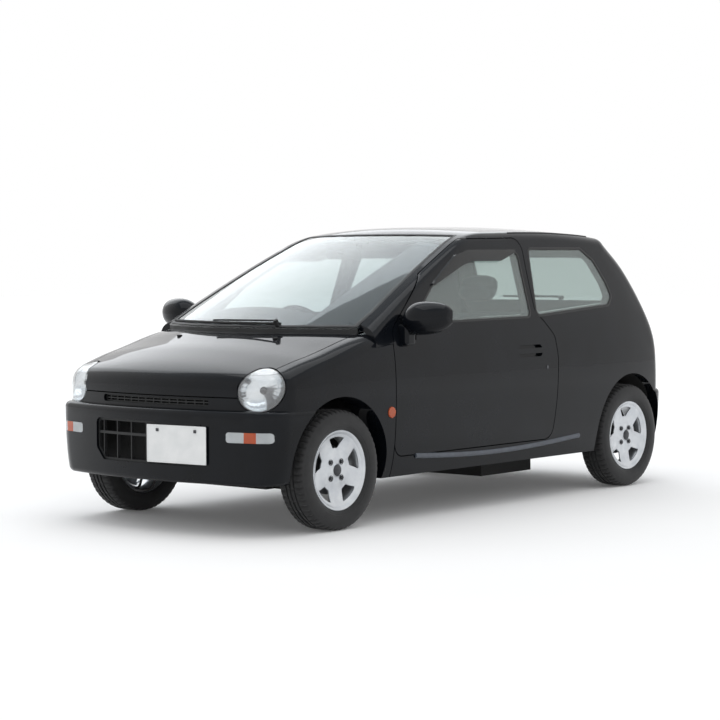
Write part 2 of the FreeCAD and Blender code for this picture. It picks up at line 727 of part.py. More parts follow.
def make_fender():
    panel = front_left.common(block(station(door_front_share) + size.shut_gap, nose_x + over,
                                     0, half_width + over, size.sill_level, top))
    skirt = size.ledge_level - size.bumper_edge_radius
    panel = panel.cut(block(half_base, nose_x + over, -over, half_width + over, 0, skirt))
    nose = block(half_base, nose_x + over, -over, nose_strip_half, 0, top)
    panel = panel.cut(nose)
    inboard = breadth(BONNET_SIDE_SHARES[0][1]) + size.shut_gap
    low = level(scuttle_share)
    scuttle = block(0, bonnet_back_x(0), -over, inboard, low, top)
    panel = panel.cut([plan_prism(bonnet_outline(), low, top, size.shut_gap), scuttle,
                       lamp_form(size.shut_gap), marker_rod(size.seat_gap)])
    start = size.liner_inner
    x = half_base
    tube = Part.makeCylinder(size.arch_radius + size.liner_wall, over, Vector(x, start,
                             size.arch_level), left)
    liner = tube.common(front.common(block(0, nose_x, 0, half_width, skirt, top)))
    liner = liner.fuse(tube.common(front.common(block(0, half_base, 0, half_width,
                                                      size.sill_level, top))))
    panel = panel.cut(front_arch).fuse(liner.cut(front_arch))
    return solid_of(panel.removeSplitter())


def marker_rod(grow):
    """The round turn lamp in the fender's side, through the panel's wall."""
    skin_y = side_y(size.marker_station, size.marker_level)
    start = Vector(size.marker_station, skin_y - size.panel_wall, size.marker_level)
    return rod(start, start + left * (size.panel_wall + size.marker_proud),
               size.marker_radius + grow)


def make_marker():
    lamp = marker_rod(0)
    face = max(lamp.Edges, key=lambda edge: edge.CenterOfMass.y)
    return lamp.makeFillet(size.marker_proud / 2, [face])


nose_strip_half = breadth(nose_strip_share)


def make_bonnet():
    panel = front_shell.common(bonnet_prism)
    for cut in both_sides(lamp_form(size.shut_gap)):
        panel = panel.cut(cut)
    return solid_of(panel)


def make_headlamp():
    lamp = front.common(lamp_form(0))
    return solid_of(lamp)


def plate_frame():
    """Where the front plate sits: its middle on the bumper, the way out and the way across."""
    slope = 2 * size.bumper_bow * size.plate_offset / half_width ** 2
    out = Vector(1, slope, 0)
    out.normalize()
    face = bumper_face_x(size.plate_offset, size.plate_bolt_level)
    return Vector(face, size.plate_offset, size.plate_bolt_level), out, up.cross(out)


def make_front_bumper():
    outer = bumper_body(bumper_face_x, False)
    inner = bumper_body(bumper_face_x, False, size.bumper_wall, size.bumper_wall)
    wall = outer.cut(inner)
    lower = size.ledge_level - 2 * size.bumper_wall
    strip = front_shell.common(block(half_base, nose_x, -nose_strip_half + size.shut_gap,
                                     nose_strip_half - size.shut_gap, lower,
                                     size.bonnet_lip_level - size.shut_gap))
    strip = solid_of(strip.cut(both_sides(lamp_form(size.shut_gap))))
    cover = wall.cut(front).fuse(strip)
    tab_half = size.plate_bolts * tab_share
    tab = block(half_base, nose_x + over, size.plate_offset - tab_half,
                size.plate_offset + tab_half, size.plate_bolt_level - size.bumper_wall, top)
    middle, out, across = plate_frame()
    holes = []
    for hand in (-1, 1):
        hole = middle + across * (hand * size.plate_bolts / 2)
        holes.append(rod(hole - out * over / 4, hole + out * over / 4, size.plate_bolt_radius))
    slot = end_prism(end_outline(SLOT_SHARES), half_base, nose_x + over, 0, slot_radius)
    pockets = both_sides(signal_form(size.seat_gap))
    cover = cover.cut(both_sides(arch(True, size.arch_radius))
                      + [grille_form(0).cut(tab), slot] + holes + pockets)
    return solid_of(cover.removeSplitter()), solid_of(wall)


slot_radius = size.bumper_edge_radius / 2


def grille_form(grow):
    return end_prism(end_outline(GRILLE_SHARES), half_base, nose_x + over, grow,
                     size.bumper_edge_radius)


def signal_form(grow):
    return end_prism(end_outline(SIGNAL_SHARES, False), half_base, nose_x + over, grow,
                     slot_radius)


def make_signal(wall):
    return solid_of(wall.common(signal_form(0)))


def make_grilles():
    """The lower grille and the louvre behind the upper slot, each one frame with its slats."""
    depth = size.slat_depth
    low = cross_skin(bumper_face_x, -size.bumper_wall - size.seat_gap).extrude(-forward * depth)
    high = cross_skin(nose_face_x, -size.panel_wall - size.seat_gap).extrude(-forward * depth)
    slot = [end_prism(end_outline(SLOT_SHARES), half_base, nose_x + over, grow, slot_radius)
            for grow in (size.slat, -size.slat)]
    middle = size.plate_bolt_level - size.grille_frame * 3
    bar = block(half_base, nose_x, -half_width, half_width, middle - size.slat,
                middle + size.slat)
    blade_z = level(sum(share for _, share in SLOT_SHARES) / len(SLOT_SHARES))
    blade = block(half_base, nose_x, -half_width, half_width, blade_z - size.slat / 2,
                  blade_z + size.slat / 2)
    grilles = []
    for slab, outer, inner, cross, pitch in (
            (low, grille_form(size.grille_frame), grille_form(-size.grille_frame), bar,
             size.slat_pitch * 2),
            (high, slot[0], slot[1], blade, size.slat_pitch)):
        frame = slab.common(outer)
        ribs = [block(half_base, nose_x, y - size.slat / 2, y + size.slat / 2, 0, top)
                for y in slat_places(pitch)]
        kept = frame.common(cross).fuse([frame.common(rib) for rib in ribs])
        grilles.append(solid_of(frame.cut(inner).fuse(kept).removeSplitter()))
    return grilles


def slat_places(pitch):
    """Evenly spaced breadths on both sides of the middle, as far as the grille's side."""
    count = int(breadth(GRILLE_SHARES[1][0]) // pitch)
    return [pitch * i for i in range(-count, count + 1)]


def make_radiator():
    """The radiator on the cross rail behind the grille."""
    back = size.rail_nose - size.rail_width + size.slat
    base = size.rail_level + size.rail_height + size.seat_gap
    half = size.radiator_width / 2
    return block(back, back + size.radiator_depth, -half, half, base,
                 base + size.radiator_height)


def make_rear_bumper():
    outer = bumper_body(rear_bumper_face_x, True)
    inner = bumper_body(rear_bumper_face_x, True, size.bumper_wall, size.bumper_wall)
    cover = outer.cut(inner).cut(cabin)
    for cut in both_sides(arch(False, size.arch_radius)):
        cover = cover.cut(cut)
    return solid_of(cover.removeSplitter())


def make_tailgate():
    panel = shell.common(tailgate_prism)
    outline = end_outline(TAILGATE_GLASS_SHARES)
    place = (tail_x - over, tail_start)
    through = end_prism(outline, *place, -size.glass_flange, size.rail_radius / 2)
    wider = end_prism(outline, *place, size.glass_gap, size.rail_radius / 2)
    pane = end_prism(outline, *place, 0, size.rail_radius / 2).common(tail_pane)
    panel = panel.cut(block(tail_x - over, 0, -over * 3, over * 3, 0,
                            size.rear_ledge_level + size.shut_gap))
    for y in (-size.plate_bolts / 2, size.plate_bolts / 2):
        panel = panel.cut(rod(Vector(tail_x - over, y, size.rear_plate_level),
                              Vector(tail_x + over, y, size.rear_plate_level),
                              size.plate_bolt_radius))
    panel = panel.cut(hinge_pins(size.seat_gap))
    return solid_of(glazed(panel, through, wider, tail_rebate)), solid_of(pane)


def make_tail_lamp():
    return solid_of(shell_left.common(tail_lamp_block))


def handle_form(height, extra):
    """A prism across the door at the handle, of a given height and longer by the extra."""
    low = size.handle_level - height / 2
    start = -size.handle_setback - size.handle_length / 2 - extra
    end = -size.handle_setback + size.handle_length / 2 + extra
    y = half_width / 2
    corners = [Vector(start, y, low), Vector(end, y, low), Vector(end, y, low + height),
               Vector(start, y, low + height)]
    return prism(corners, left, half_width, 0, height * handle_round_share)


def make_door():
    """The door's panel with its window, and the handle's bar across a well."""
    panel = shell_left.common(door_prism)
    through = side_prism(DOOR_GLASS_SHARES, -size.glass_flange, window_radius)
    wider = side_prism(DOOR_GLASS_SHARES, size.glass_gap, window_radius)
    pane = side_prism(DOOR_GLASS_SHARES, 0, window_radius).common(side_pane)
    panel = glazed(panel, through, wider, side_rebate)
    well = handle_form(size.handle_well, 0).common(side_slab(size.handle_depth, over))
    bar = handle_form(size.handle_bar, size.slat).common(
        side_slab(size.handle_wall, size.handle_wall))
    return solid_of(panel.cut(well).fuse(bar)), solid_of(pane)


pieces = {}


def add(name, *shapes):
    """Puts a piece into the document under its own label."""
    piece = doc.addObject("Part::Feature", name)
    piece.Label = name
    shape = shapes[0] if len(shapes) == 1 else Part.makeCompound(list(shapes))
    piece.Shape = shape
    piece.Placement = FreeCAD.Placement(Vector(-middle_x, 0, 0), FreeCAD.Rotation())
    pieces[name] = piece


# Plain pieces drawn as sketches and revolved, padded or cut

def body_of(name):
    body = doc.addObject("PartDesign::Body", name)
    body.Label = name
    return body


def plane_of(body, role):
    return [item for item in body.Origin.OriginFeatures if item.Role == role][0]


def fix_coordinate(sketch, kind, geometry, text, value):
    """Ties one coordinate of a line's first point to an expression of the sheet."""
    axis = -2 if kind == "DistanceX" else -1
    if abs(value) < scale_unit * smallest_share ** 2:
        sketch.addConstraint(Sketcher.Constraint("PointOnObject", geometry, 1, axis))
        return
    item = sketch.addConstraint(Sketcher.Constraint(kind, -1, 1, geometry, 1, value))
    sketch.setExpression("Constraints[%d]" % item, text)


def sketched(body, name, role, outline):
    """A closed outline on a plane of the body, each corner tied to the sheet's sizes."""
    sketch = body.newObject("Sketcher::SketchObject", name)
    sketch.AttachmentSupport = (plane_of(body, role), "")
    sketch.MapMode = "FlatFace"
    texts = [(across.replace("#", "Sizes."), along.replace("#", "Sizes."))
             for across, along in outline]
    corners = [(float(sketch.evalExpression(a)), float(sketch.evalExpression(b)))
               for a, b in texts]
    count = len(corners)
    for i in range(count):
        start = Vector(corners[i][0], corners[i][1], 0)
        end = Vector(corners[(i + 1) % count][0], corners[(i + 1) % count][1], 0)
        sketch.addGeometry(Part.LineSegment(start, end), False)
    for i in range(count):
        sketch.addConstraint(Sketcher.Constraint("Coincident", i, 2, (i + 1) % count, 1))
    for i in range(count):
        fix_coordinate(sketch, "DistanceX", i, texts[i][0], corners[i][0])
        fix_coordinate(sketch, "DistanceY", i, texts[i][1], corners[i][1])
    return sketch


def place(piece, x, y=0, z=0, turn=0):
    piece.Placement = FreeCAD.Placement(Vector(x - middle_x, y, z), FreeCAD.Rotation(up, turn))
    pieces[piece.Label] = piece


def revolved(name, outline):
    body = body_of(name)
    sketch = sketched(body, name + "_outline", "XY_Plane", outline)
    turn = body.newObject("PartDesign::Revolution", name + "_turn")
    turn.Profile = sketch
    turn.ReferenceAxis = (sketch, ["V_Axis"])
    turn.Angle = 360
    body.Tip = turn
    return body


def padded(name, role, outline, length):
    body = body_of(name)
    sketch = sketched(body, name + "_outline", role, outline)
    pad = body.newObject("PartDesign::Pad", name + "_pad")
    pad.Profile = sketch
    pad.setExpression("Length", length.replace("#", "Sizes."))
    pad.Midplane = True
    body.Tip = pad
    return body


TYRE_OUTLINE = [
    ("#bead_radius + #seat_gap", "-#rim_width / 2 + #rim_wall * 2 + #seat_gap"),
    ("#rim_radius + #seat_gap", "-#rim_width / 2 + #rim_wall + #seat_gap"),
    ("#tyre_radius * 0.84", "-#tyre_width / 2"),
    ("#tyre_radius", "-#tread_width / 2"),
]


def make_tyre(name, x, y):
    other = [(a, "-(" + b + ")") for a, b in reversed(TYRE_OUTLINE)]
    place(revolved(name, TYRE_OUTLINE + other), x, y, size.tyre_radius)


RIM_OUTLINE = [
    ("#axle_radius + #seat_gap", "-#dish_depth"),
    ("#window_outer - #rim_wall", "#hub_depth * 0.5"),
    ("#window_outer - #rim_wall", "-#rim_width / 2 + #rim_wall * 4"),
    ("#rim_radius - #rim_wall", "-#rim_width / 2"),
    ("#rim_radius", "-#rim_width / 2"),
    ("#rim_radius", "-#rim_width / 2 + #rim_wall"),
    ("#bead_radius", "-#rim_width / 2 + #rim_wall * 2"),
    ("#window_outer", "-#rim_width / 2 + #rim_wall * 4"),
    ("#window_outer", "#rim_width / 2 - #rim_wall * 4"),
    ("#bead_radius", "#rim_width / 2 - #rim_wall * 2"),
    ("#rim_radius", "#rim_width / 2 - #rim_wall"),
    ("#rim_radius", "#rim_width / 2"),
    ("#window_outer + #rim_wall / 2", "#hub_depth + #rim_wall"),
    ("#window_inner * 0.88", "#hub_depth - #rim_wall / 2"),
    ("0", "#hub_depth + #rim_wall"),
    ("0", "#dish_depth"),
    ("#axle_radius + #seat_gap", "#dish_depth"),
]
WINDOW_OUTLINE = [
    ("-#window_inner", "-#window_outer * 0.1"),
    ("-#window_outer * 0.88", "-#window_outer * 0.32"),
    ("-#window_outer * 0.93", "0"),
    ("-#window_outer * 0.88", "#window_outer * 0.32"),
    ("-#window_inner", "#window_outer * 0.1"),
]
spoke_count = 5


def make_rim(name, x, y, turn):
    body = revolved(name, RIM_OUTLINE)
    sketch = sketched(body, name + "_window", "XZ_Plane", WINDOW_OUTLINE)
    doc.recompute()
    window = body.newObject("PartDesign::Pocket", name + "_windows")
    window.Profile = sketch
    window.Midplane = True
    window.setExpression("Length", "Sizes.rim_width * 2")
    pattern = body.newObject("PartDesign::PolarPattern", name + "_spokes")
    pattern.Originals = [window]
    pattern.Axis = (plane_of(body, "Y_Axis"), "")
    pattern.Angle = 360
    pattern.Occurrences = spoke_count
    body.Tip = pattern
    place(body, x, y, size.tyre_radius, turn)


def make_wheels():
    for end, x in (("f", half_base), ("r", -half_base)):
        for hand, y, turn in (("l", half_track, 0), ("r", -half_track, 180)):
            make_tyre("tyre_%s%s" % (end, hand), x, y)
            make_rim("rim_%s%s" % (end, hand), x, y, turn)


kingpin_y = half_track - size.kingpin_offset
carrier_y = kingpin_y - size.knuckle_width
wheel_z = size.tyre_radius
strut_y = kingpin_y - size.strut_radius * 2 - size.shut_gap / 2
carrier_share = 0.8
tank_share = 0.48
pipe_shares = (0.9, -0.1, -0.2, -0.7725, -0.8755, -1.08)
tail_pipe_shares = (-1.2, -1.28)
muffler_share = -1.14
pipe_bend_share = 4
spring_share = 0.72
tray_share = 0.45
arm_share = 0.4
arm_low = wheel_z - size.knuckle_height / 2 * carrier_share - size.arm_thickness - size.seat_gap
arm_high = wheel_z + size.knuckle_height / 2 * carrier_share + size.seat_gap


def make_knuckle(name, hand):
    """The upright carrier with the stub axle, which the rim turns on."""
    half = size.knuckle_height / 2 * carrier_share
    carrier = block(half_base - size.knuckle_length / 2, half_base + size.knuckle_length / 2,
                    carrier_y, carrier_y + size.knuckle_width * tab_share, wheel_z - half,
                    wheel_z + half)
    carrier = rounded_all(carrier, size.slat)
    stub = rod(Vector(half_base, carrier_y, wheel_z),
               Vector(half_base, half_track + size.dish_depth - size.seat_gap, wheel_z),
               size.axle_radius)
    knuckle = carrier.fuse(stub)
    add(name, knuckle if hand > 0 else knuckle.mirror(Vector(), left))


def rounded_all(shape, radius):
    return shape.makeFillet(radius, shape.Edges)


def make_front_suspension():
    """The cross tray with both lower arms, struts and springs, and rails from the bulkhead."""
    tray_half = half_width * tray_share
    arm_start = half_width * arm_share
    mount_y = size.engine_width / 2 + size.seat_gap
    tray = block(half_base - size.knuckle_length, half_base + size.knuckle_length, -tray_half,
                 tray_half, arm_low, arm_low + size.arm_thickness)
    rail_low, rail_high = size.rail_level, size.rail_level + size.rail_height
    outer = size.rail_offset + size.rail_width / 2
    rail_tail = station(bulkhead_share) + size.floor_thickness + size.seat_gap
    parts = [block(size.rail_nose - size.rail_width, size.rail_nose, -outer, outer, rail_low,
                   rail_high)]
    tower = bonnet_z(half_base, strut_y) - size.bonnet_wall * 3
    for hand in (1, -1):
        arm_half = size.knuckle_length * arm_share
        arm = block(half_base - arm_half, half_base + arm_half, hand * arm_start,
                    hand * (carrier_y + size.knuckle_width / 2), arm_low,
                    arm_low + size.arm_thickness)
        foot = Vector(half_base, hand * strut_y, arm_high)
        seat = Vector(half_base, hand * strut_y, size.arch_level + size.arch_radius)
        head = Vector(half_base, hand * strut_y, tower)
        strut = rod(foot, head, size.strut_radius)
        spring = rod(seat, head - up * size.strut_radius, size.spring_radius)
        post = block(half_base - size.strut_radius, half_base + size.strut_radius,
                     hand * mount_y, hand * tray_half, arm_low, arm_high + size.strut_radius)
        link = block(half_base - size.strut_radius, half_base + size.strut_radius,
                     hand * mount_y, hand * strut_y, arm_high, arm_high + size.strut_radius)
        rail = block(rail_tail, size.rail_nose, hand * outer, hand * (outer - size.rail_width),
                     rail_low, rail_high)
        parts += [arm, strut, spring, post, link, rail]
    return solid_of(tray.fuse(parts))


def make_rear_axle():
    """The beam with both trailing arms, which end at the heel board, and the brake drums."""
    beam_x = -half_base + size.spring_radius
    beam = rod(Vector(beam_x, -carrier_y, wheel_z), Vector(beam_x, carrier_y, wheel_z),
               size.beam_radius)
    for hand in (1, -1):
        inner = hand * (carrier_y - size.knuckle_width * arm_share)
        outer = hand * (carrier_y + size.knuckle_width / 2)
        arm = block(-half_base - size.beam_radius, -size.heel_setback - size.seat_gap, inner, outer,
                    wheel_z - size.beam_radius, wheel_z + size.arm_thickness / 2)
        drum = rod(Vector(-half_base, outer, wheel_z),
                   Vector(-half_base, hand * (half_track - size.dish_depth * 2), wheel_z),
                   size.window_inner)
        stub = rod(Vector(-half_base, outer, wheel_z),
                   Vector(-half_base, hand * (half_track + size.dish_depth - size.seat_gap),
                          wheel_z), size.axle_radius)
        spring_y = hand * size.wheel_house_inner * spring_share
        spring = rod(Vector(beam_x, spring_y, wheel_z),
                     Vector(beam_x, spring_y, size.boot_level - size.seat_gap), size.beam_radius)
        beam = beam.fuse([arm, drum, stub, spring])
    return solid_of(beam)


def make_engine():
    """The engine with its gearbox, as one closed block."""
    body = padded("engine_block", "XZ_Plane", [
        ("-#engine_length / 2", "0"), ("#engine_length / 2", "0"),
        ("#engine_length / 2", "#engine_height * 0.8"), ("#engine_length / 4", "#engine_height"),
        ("-#engine_length / 2", "#engine_height")], "#engine_width")
    place(body, half_base + size.knuckle_length / 2, 0, size.engine_bottom)


def make_tank():
    body = padded("fuel_tank", "XZ_Plane", [
        ("-#tank_length / 2", "-#tank_height"), ("#tank_length / 2", "-#tank_height"),
        ("#tank_length / 2", "0"), ("-#tank_length / 2", "0")], "#tank_width")
    place(body, -half_base * tank_share, 0, size.sill_level - size.seat_gap)


def pipe_along(points, radius):
    """A round pipe along straight runs that bend into each other."""
    wire = Part.Wire(bent_run(points, radius * pipe_bend_share))
    section = Part.Wire(Part.makeCircle(radius, points[0], points[1] - points[0]))
    return wire.makePipeShell([section], True, False)


def make_exhaust():
    """The pipe under the floor and over the rear beam, the silencer and the tail pipe."""
    low = size.sill_level - size.pipe_radius - size.seat_gap
    xs = [half_base * share for share in pipe_shares]
    aside, rise = -size.pipe_aside, size.pipe_rise
    route = [Vector(xs[0], -size.pipe_offset, low), Vector(xs[1], -size.pipe_offset, low),
             Vector(xs[2], aside, low), Vector(xs[3], aside, low), Vector(xs[4], aside, rise),
             Vector(xs[5], aside, rise)]
    front_x = half_base * muffler_share + size.muffler_length / 2
    front = Vector(front_x, -size.muffler_offset, size.muffler_level)
    muffler = rod(front, front - forward * size.muffler_length, size.muffler_radius)
    muffler = muffler.makeFillet(size.pipe_radius / 2, muffler.Edges[::2])
    inside, outside = [half_base * share for share in tail_pipe_shares]
    y = -size.muffler_offset
    tail = [Vector(inside, y, size.muffler_level - size.muffler_radius / 2),
            Vector(outside, y, size.tail_pipe_level),
            Vector(tail_x + size.shut_gap, y, size.tail_pipe_level)]
    return solid_of(muffler.fuse([pipe_along(route, size.pipe_radius),
                                  pipe_along(tail, size.tail_pipe_radius)]))


def bent_run(points, radius):
    """Straight runs joined by tangent arcs."""
    edges = []
    start = points[0]
    for i in range(1, len(points) - 1):
        back, ahead = points[i - 1] - points[i], points[i + 1] - points[i]
        half = back.getAngle(ahead) / 2
        reach = min(radius / math.tan(half), arc_room_share * min(back.Length, ahead.Length))
        back.normalize()
        ahead.normalize()
        middle = back + ahead
        middle.normalize()
        bend = reach * math.tan(half)
        first, last = points[i] + back * reach, points[i] + ahead * reach
        edges.append(Part.makeLine(start, first))
        edges.append(Part.Arc(first, points[i] + middle * (bend / math.sin(half) - bend),
                              last).toShape())
        start = last
    edges.append(Part.makeLine(start, points[-1]))
    return edges


def cushion(length, width, height, edge):
    return rounded_all(block(0, length, -width / 2, width / 2, 0, height), edge)


def make_seats():
    """Both front seats, each one closed form of cushion, backrest, head rest and base."""
    seats = []
    base_z = size.sill_level + size.floor_thickness + size.seat_gap
    for hand in (1, -1):
        x = -size.seat_setback
        base = cushion(size.seat_length, size.seat_width, size.seat_cushion, size.seat_edge)
        base.translate(Vector(x, hand * size.seat_offset, size.seat_level))
        half = size.seat_width * seat_base_share
        frame = block(x + size.seat_edge, x + size.seat_length - size.seat_edge * 2,
                      hand * size.seat_offset - half, hand * size.seat_offset + half, base_z,
                      size.seat_level + size.seat_edge)
        back = cushion(size.seat_thickness, size.seat_width - size.seat_edge / 2, size.seat_back,
                       size.seat_edge)
        head = cushion(size.head_thickness, size.head_width, size.head_height, size.seat_edge)
        head.translate(Vector(size.seat_edge / 2, 0, size.seat_back + size.head_gap))
        stalk = rod(Vector(size.seat_thickness / 2, 0, size.seat_back - size.seat_edge),
                    Vector(size.seat_thickness / 2, 0, size.seat_back + size.head_gap * 2),
                    size.grip_radius)
        upper = back.fuse([stalk, head])
        upper.rotate(Vector(), left, -size.seat_rake)
        upper.translate(Vector(x + size.seat_edge, hand * size.seat_offset,
                               size.seat_level + size.seat_cushion * seat_base_share))
        seats.append(solid_of(base.fuse([frame, upper])))
    return seats


seat_base_share = 0.35


def make_bench():
    x = -size.heel_setback + size.floor_thickness + size.seat_edge / 2
    width = size.bench_width
    base = cushion(size.seat_length - size.seat_edge / 2, width, size.bench_cushion,
                   size.seat_edge)
    base.translate(Vector(x, 0, size.seat_level))
    foot = block(x + size.seat_edge, x + size.seat_length * bench_foot_share,
                 -width * tray_share, width * tray_share,
                 size.sill_level + size.floor_thickness + size.seat_gap,
                 size.seat_level + size.seat_edge)
    back = cushion(size.seat_thickness, width, size.seat_back, size.seat_edge)
    back.rotate(Vector(), left, -size.bench_rake)
    back.translate(Vector(x, 0, size.seat_level + size.seat_edge))
    return solid_of(base.fuse([foot, back]))


bench_foot_share = 0.8


def make_dashboard():
    body = padded("dashboard", "XZ_Plane", [
        ("-#dash_depth", "-#dash_height * 0.3"), ("-#dash_depth * 0.78", "-#dash_height"),
        ("0", "-#dash_height"), ("0", "-#dash_height * 0.08"), ("-#dash_depth * 0.55", "0"),
        ("-#dash_depth * 0.95", "-#dash_height * 0.12")], "#body_width - #side_wall * 5")
    place(body, station(bulkhead_share) - size.seat_gap, 0, size.dash_top)


def make_steering_wheel():
    """The steering wheel with its boss, spokes and column."""
    rake = math.radians(size.column_rake)
    axis = Vector(-math.cos(rake), 0, math.sin(rake))
    centre = Vector(station(wheel_centre_share), -size.seat_offset,
                    size.dash_top - size.grip_circle * tray_share)
    boss = rod(centre - axis * size.grip_radius * 3, centre + axis * size.grip_radius,
               size.boss_radius)
    column = rod(centre - axis * column_reach(centre, axis), centre, size.column_radius)
    down = left.cross(axis) if left.cross(axis).z < 0 else axis.cross(left)
    spokes = [rod(centre - axis * size.grip_radius, centre + way * size.grip_circle,
                  size.spoke_radius) for way in (left, -left, down)]
    return solid_of(grip_ring(centre, axis).fuse([boss, column] + spokes))


wheel_centre_share = 0.24
dash_lip_share = 0.3
dash_foot_share = 0.78


def column_reach(centre, axis):
    """How far the column runs from the wheel until its end's rim stands at the dashboard."""
    back = station(bulkhead_share) - size.seat_gap
    high = Vector(back - size.dash_depth, centre.y,
                  size.dash_top - size.dash_height * dash_lip_share)
    low = Vector(back - size.dash_depth * dash_foot_share, centre.y,
                 size.dash_top - size.dash_height)
    out = left.cross(low - high)
    out.normalize()
    rim = size.column_radius * axis.cross(out).Length
    return (out.dot(centre - high) - rim - size.seat_gap) / out.dot(axis)


def grip_ring(centre, axis):
    """The grip, an eight-sided section carried round the column's axis."""
    out = left
    corners = []
    for turn in steps(0, 2 * math.pi, grip_sides + 1)[:-1]:
        corners.append(centre + out * (size.grip_circle + size.grip_radius * math.cos(turn))
                       + axis * size.grip_radius * math.sin(turn))
    return Part.Face(Part.makePolygon(corners + corners[:1])).revolve(centre, axis, 360)


grip_sides = 8


def make_mirror():
    """A door mirror: a drop-shaped housing with a flat back, standing on its foot."""
    sections = []
    for reach, height, length, rise in MIRROR_SHARES:
        y = size.mirror_start + size.mirror_reach * reach
        z = size.mirror_level + size.mirror_height * rise
        half = size.mirror_height / 2 * height
        back = size.mirror_station
        low, high = Vector(back, y, z - half), Vector(back, y, z + half)
        front = Vector(back + size.mirror_length * length, y, z)
        sections.append(Part.Wire([Part.makeLine(high, low), Part.Arc(low, front, high).toShape()]))
    housing = Part.makeLoft(sections, True)
    foot_x = size.mirror_station + size.mirror_length * mirror_foot_share
    foot_top = size.mirror_level - size.mirror_height / 4
    skin_y = side_y(foot_x, foot_top)
    foot = block(foot_x, foot_x + size.mirror_foot, skin_y - size.side_wall / 2,
                 size.mirror_start + size.mirror_foot / 2, foot_top - size.mirror_foot_height,
                 foot_top)
    foot = rounded_all(foot, size.mirror_foot / 4)
    return solid_of(housing.fuse(foot).cut(cabin_seat))


mirror_foot_share = 0.3


def wiper_arm(points):
    """A slim round arm along a smooth path just over the glass."""
    curve = Part.BSplineCurve()
    curve.interpolate(points)
    section = Part.Wire(Part.makeCircle(size.wiper_bar / 2, points[0], points[1] - points[0]))
    return Part.Wire(curve.toShape()).makePipeShell([section], True, False)


def make_wipers():
    """Two arms that follow the screen just above it, from its foot."""
    arms = []
    for foot_share, tip_share in FRONT_WIPER_SHARES:
        points = []
        for y in steps(breadth(foot_share), breadth(tip_share), 5):
            x = screen_foot_x(y) - size.wiper_bar * 2
            points.append(Vector(x, y, cabin_top_z(x, y) + bar_lift(cabin_top_z, x, y)))
        arms.append(wiper_arm(points))
    return arms


def make_rear_wiper():
    z = level(rear_wiper_level_share)
    start, end = [breadth(share) for share in REAR_WIPER_SHARES]
    sink = size.seat_gap * 6
    return wiper_arm([Vector(tail_face_x(y, z) - bar_lift(tail_face_x, y, z) + sink, y, z)
                      for y in steps(start, end, 5)])


def bar_lift(surface, a, b):
    """How far a bar's middle lies outside the body's surface, to stand just off the pane."""
    step = size.wiper_bar
    first = (surface(a + step, b) - surface(a - step, b)) / (step * 2)
    second = (surface(a, b + step) - surface(a, b - step)) / (step * 2)
    stretch = math.sqrt(1 + first ** 2 + second ** 2)
    return (size.wiper_bar / 2 + size.seat_gap * 2) * stretch - size.glass_recess


side = make_side()
add("side_left", side)
add("side_right", side.mirror(Vector(), left))
add("roof_panel", make_roof())
add("windscreen", make_screen())
add("quarter_glass", *both_sides(make_quarter_glass()))
add("floor_pan", make_floor())
add("bulkhead", make_bulkhead())
add("cowl", make_cowl())
fender = make_fender()
add("fender_left", fender)
add("fender_right", fender.mirror(Vector(), left))
add("bonnet", make_bonnet())
add("headlamps", *both_sides(make_headlamp()))
cover, wall = make_front_bumper()
add("front_bumper", cover)
add("signal_lamps", *(both_sides(make_signal(wall)) + both_sides(make_marker())))
add("grilles", *make_grilles())
add("radiator", make_radiator())
add("rear_bumper", make_rear_bumper())
tailgate, tail_glass = make_tailgate()
add("tailgate", tailgate)
add("tailgate_glass", tail_glass)
add("rear_wiper", make_rear_wiper())
add("tail_lamps", *both_sides(make_tail_lamp()))
door, door_glass = make_door()
add("door_left", door)
add("door_right", door.mirror(Vector(), left))
add("door_glass_left", door_glass)
add("door_glass_right", door_glass.mirror(Vector(), left))
cabin_seat = cabin_body(-size.seat_gap, -size.seat_gap, -size.seat_gap)
mirror = make_mirror()
add("mirror_left", mirror)
add("mirror_right", mirror.mirror(Vector(), left))
make_wheels()
make_knuckle("knuckle_left", 1)
make_knuckle("knuckle_right", -1)
add("front_suspension", make_front_suspension())
add("rear_axle", make_rear_axle())
make_engine()
make_tank()
add("exhaust", make_exhaust())
add("front_seats", *make_seats())
add("rear_bench", make_bench())
make_dashboard()
add("steering_wheel", make_steering_wheel())
add("wipers", *make_wipers())

doc.recompute()
for item in doc.Objects:
    if "Invalid" in item.State or "Error" in item.State:
        raise ValueError("not built: " + item.Label)
for name, piece in pieces.items():
    if piece.Shape.isNull() or not piece.Shape.isValid():
        raise ValueError("no valid shape: " + name)
os.makedirs("parts", exist_ok=True)
for name, piece in pieces.items():
    piece.Shape.exportStep("parts/%s.step" % name)
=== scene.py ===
import json
import math
import bmesh
import bpy
from mathutils import Matrix, Vector
from mathutils.bvhtree import BVHTree


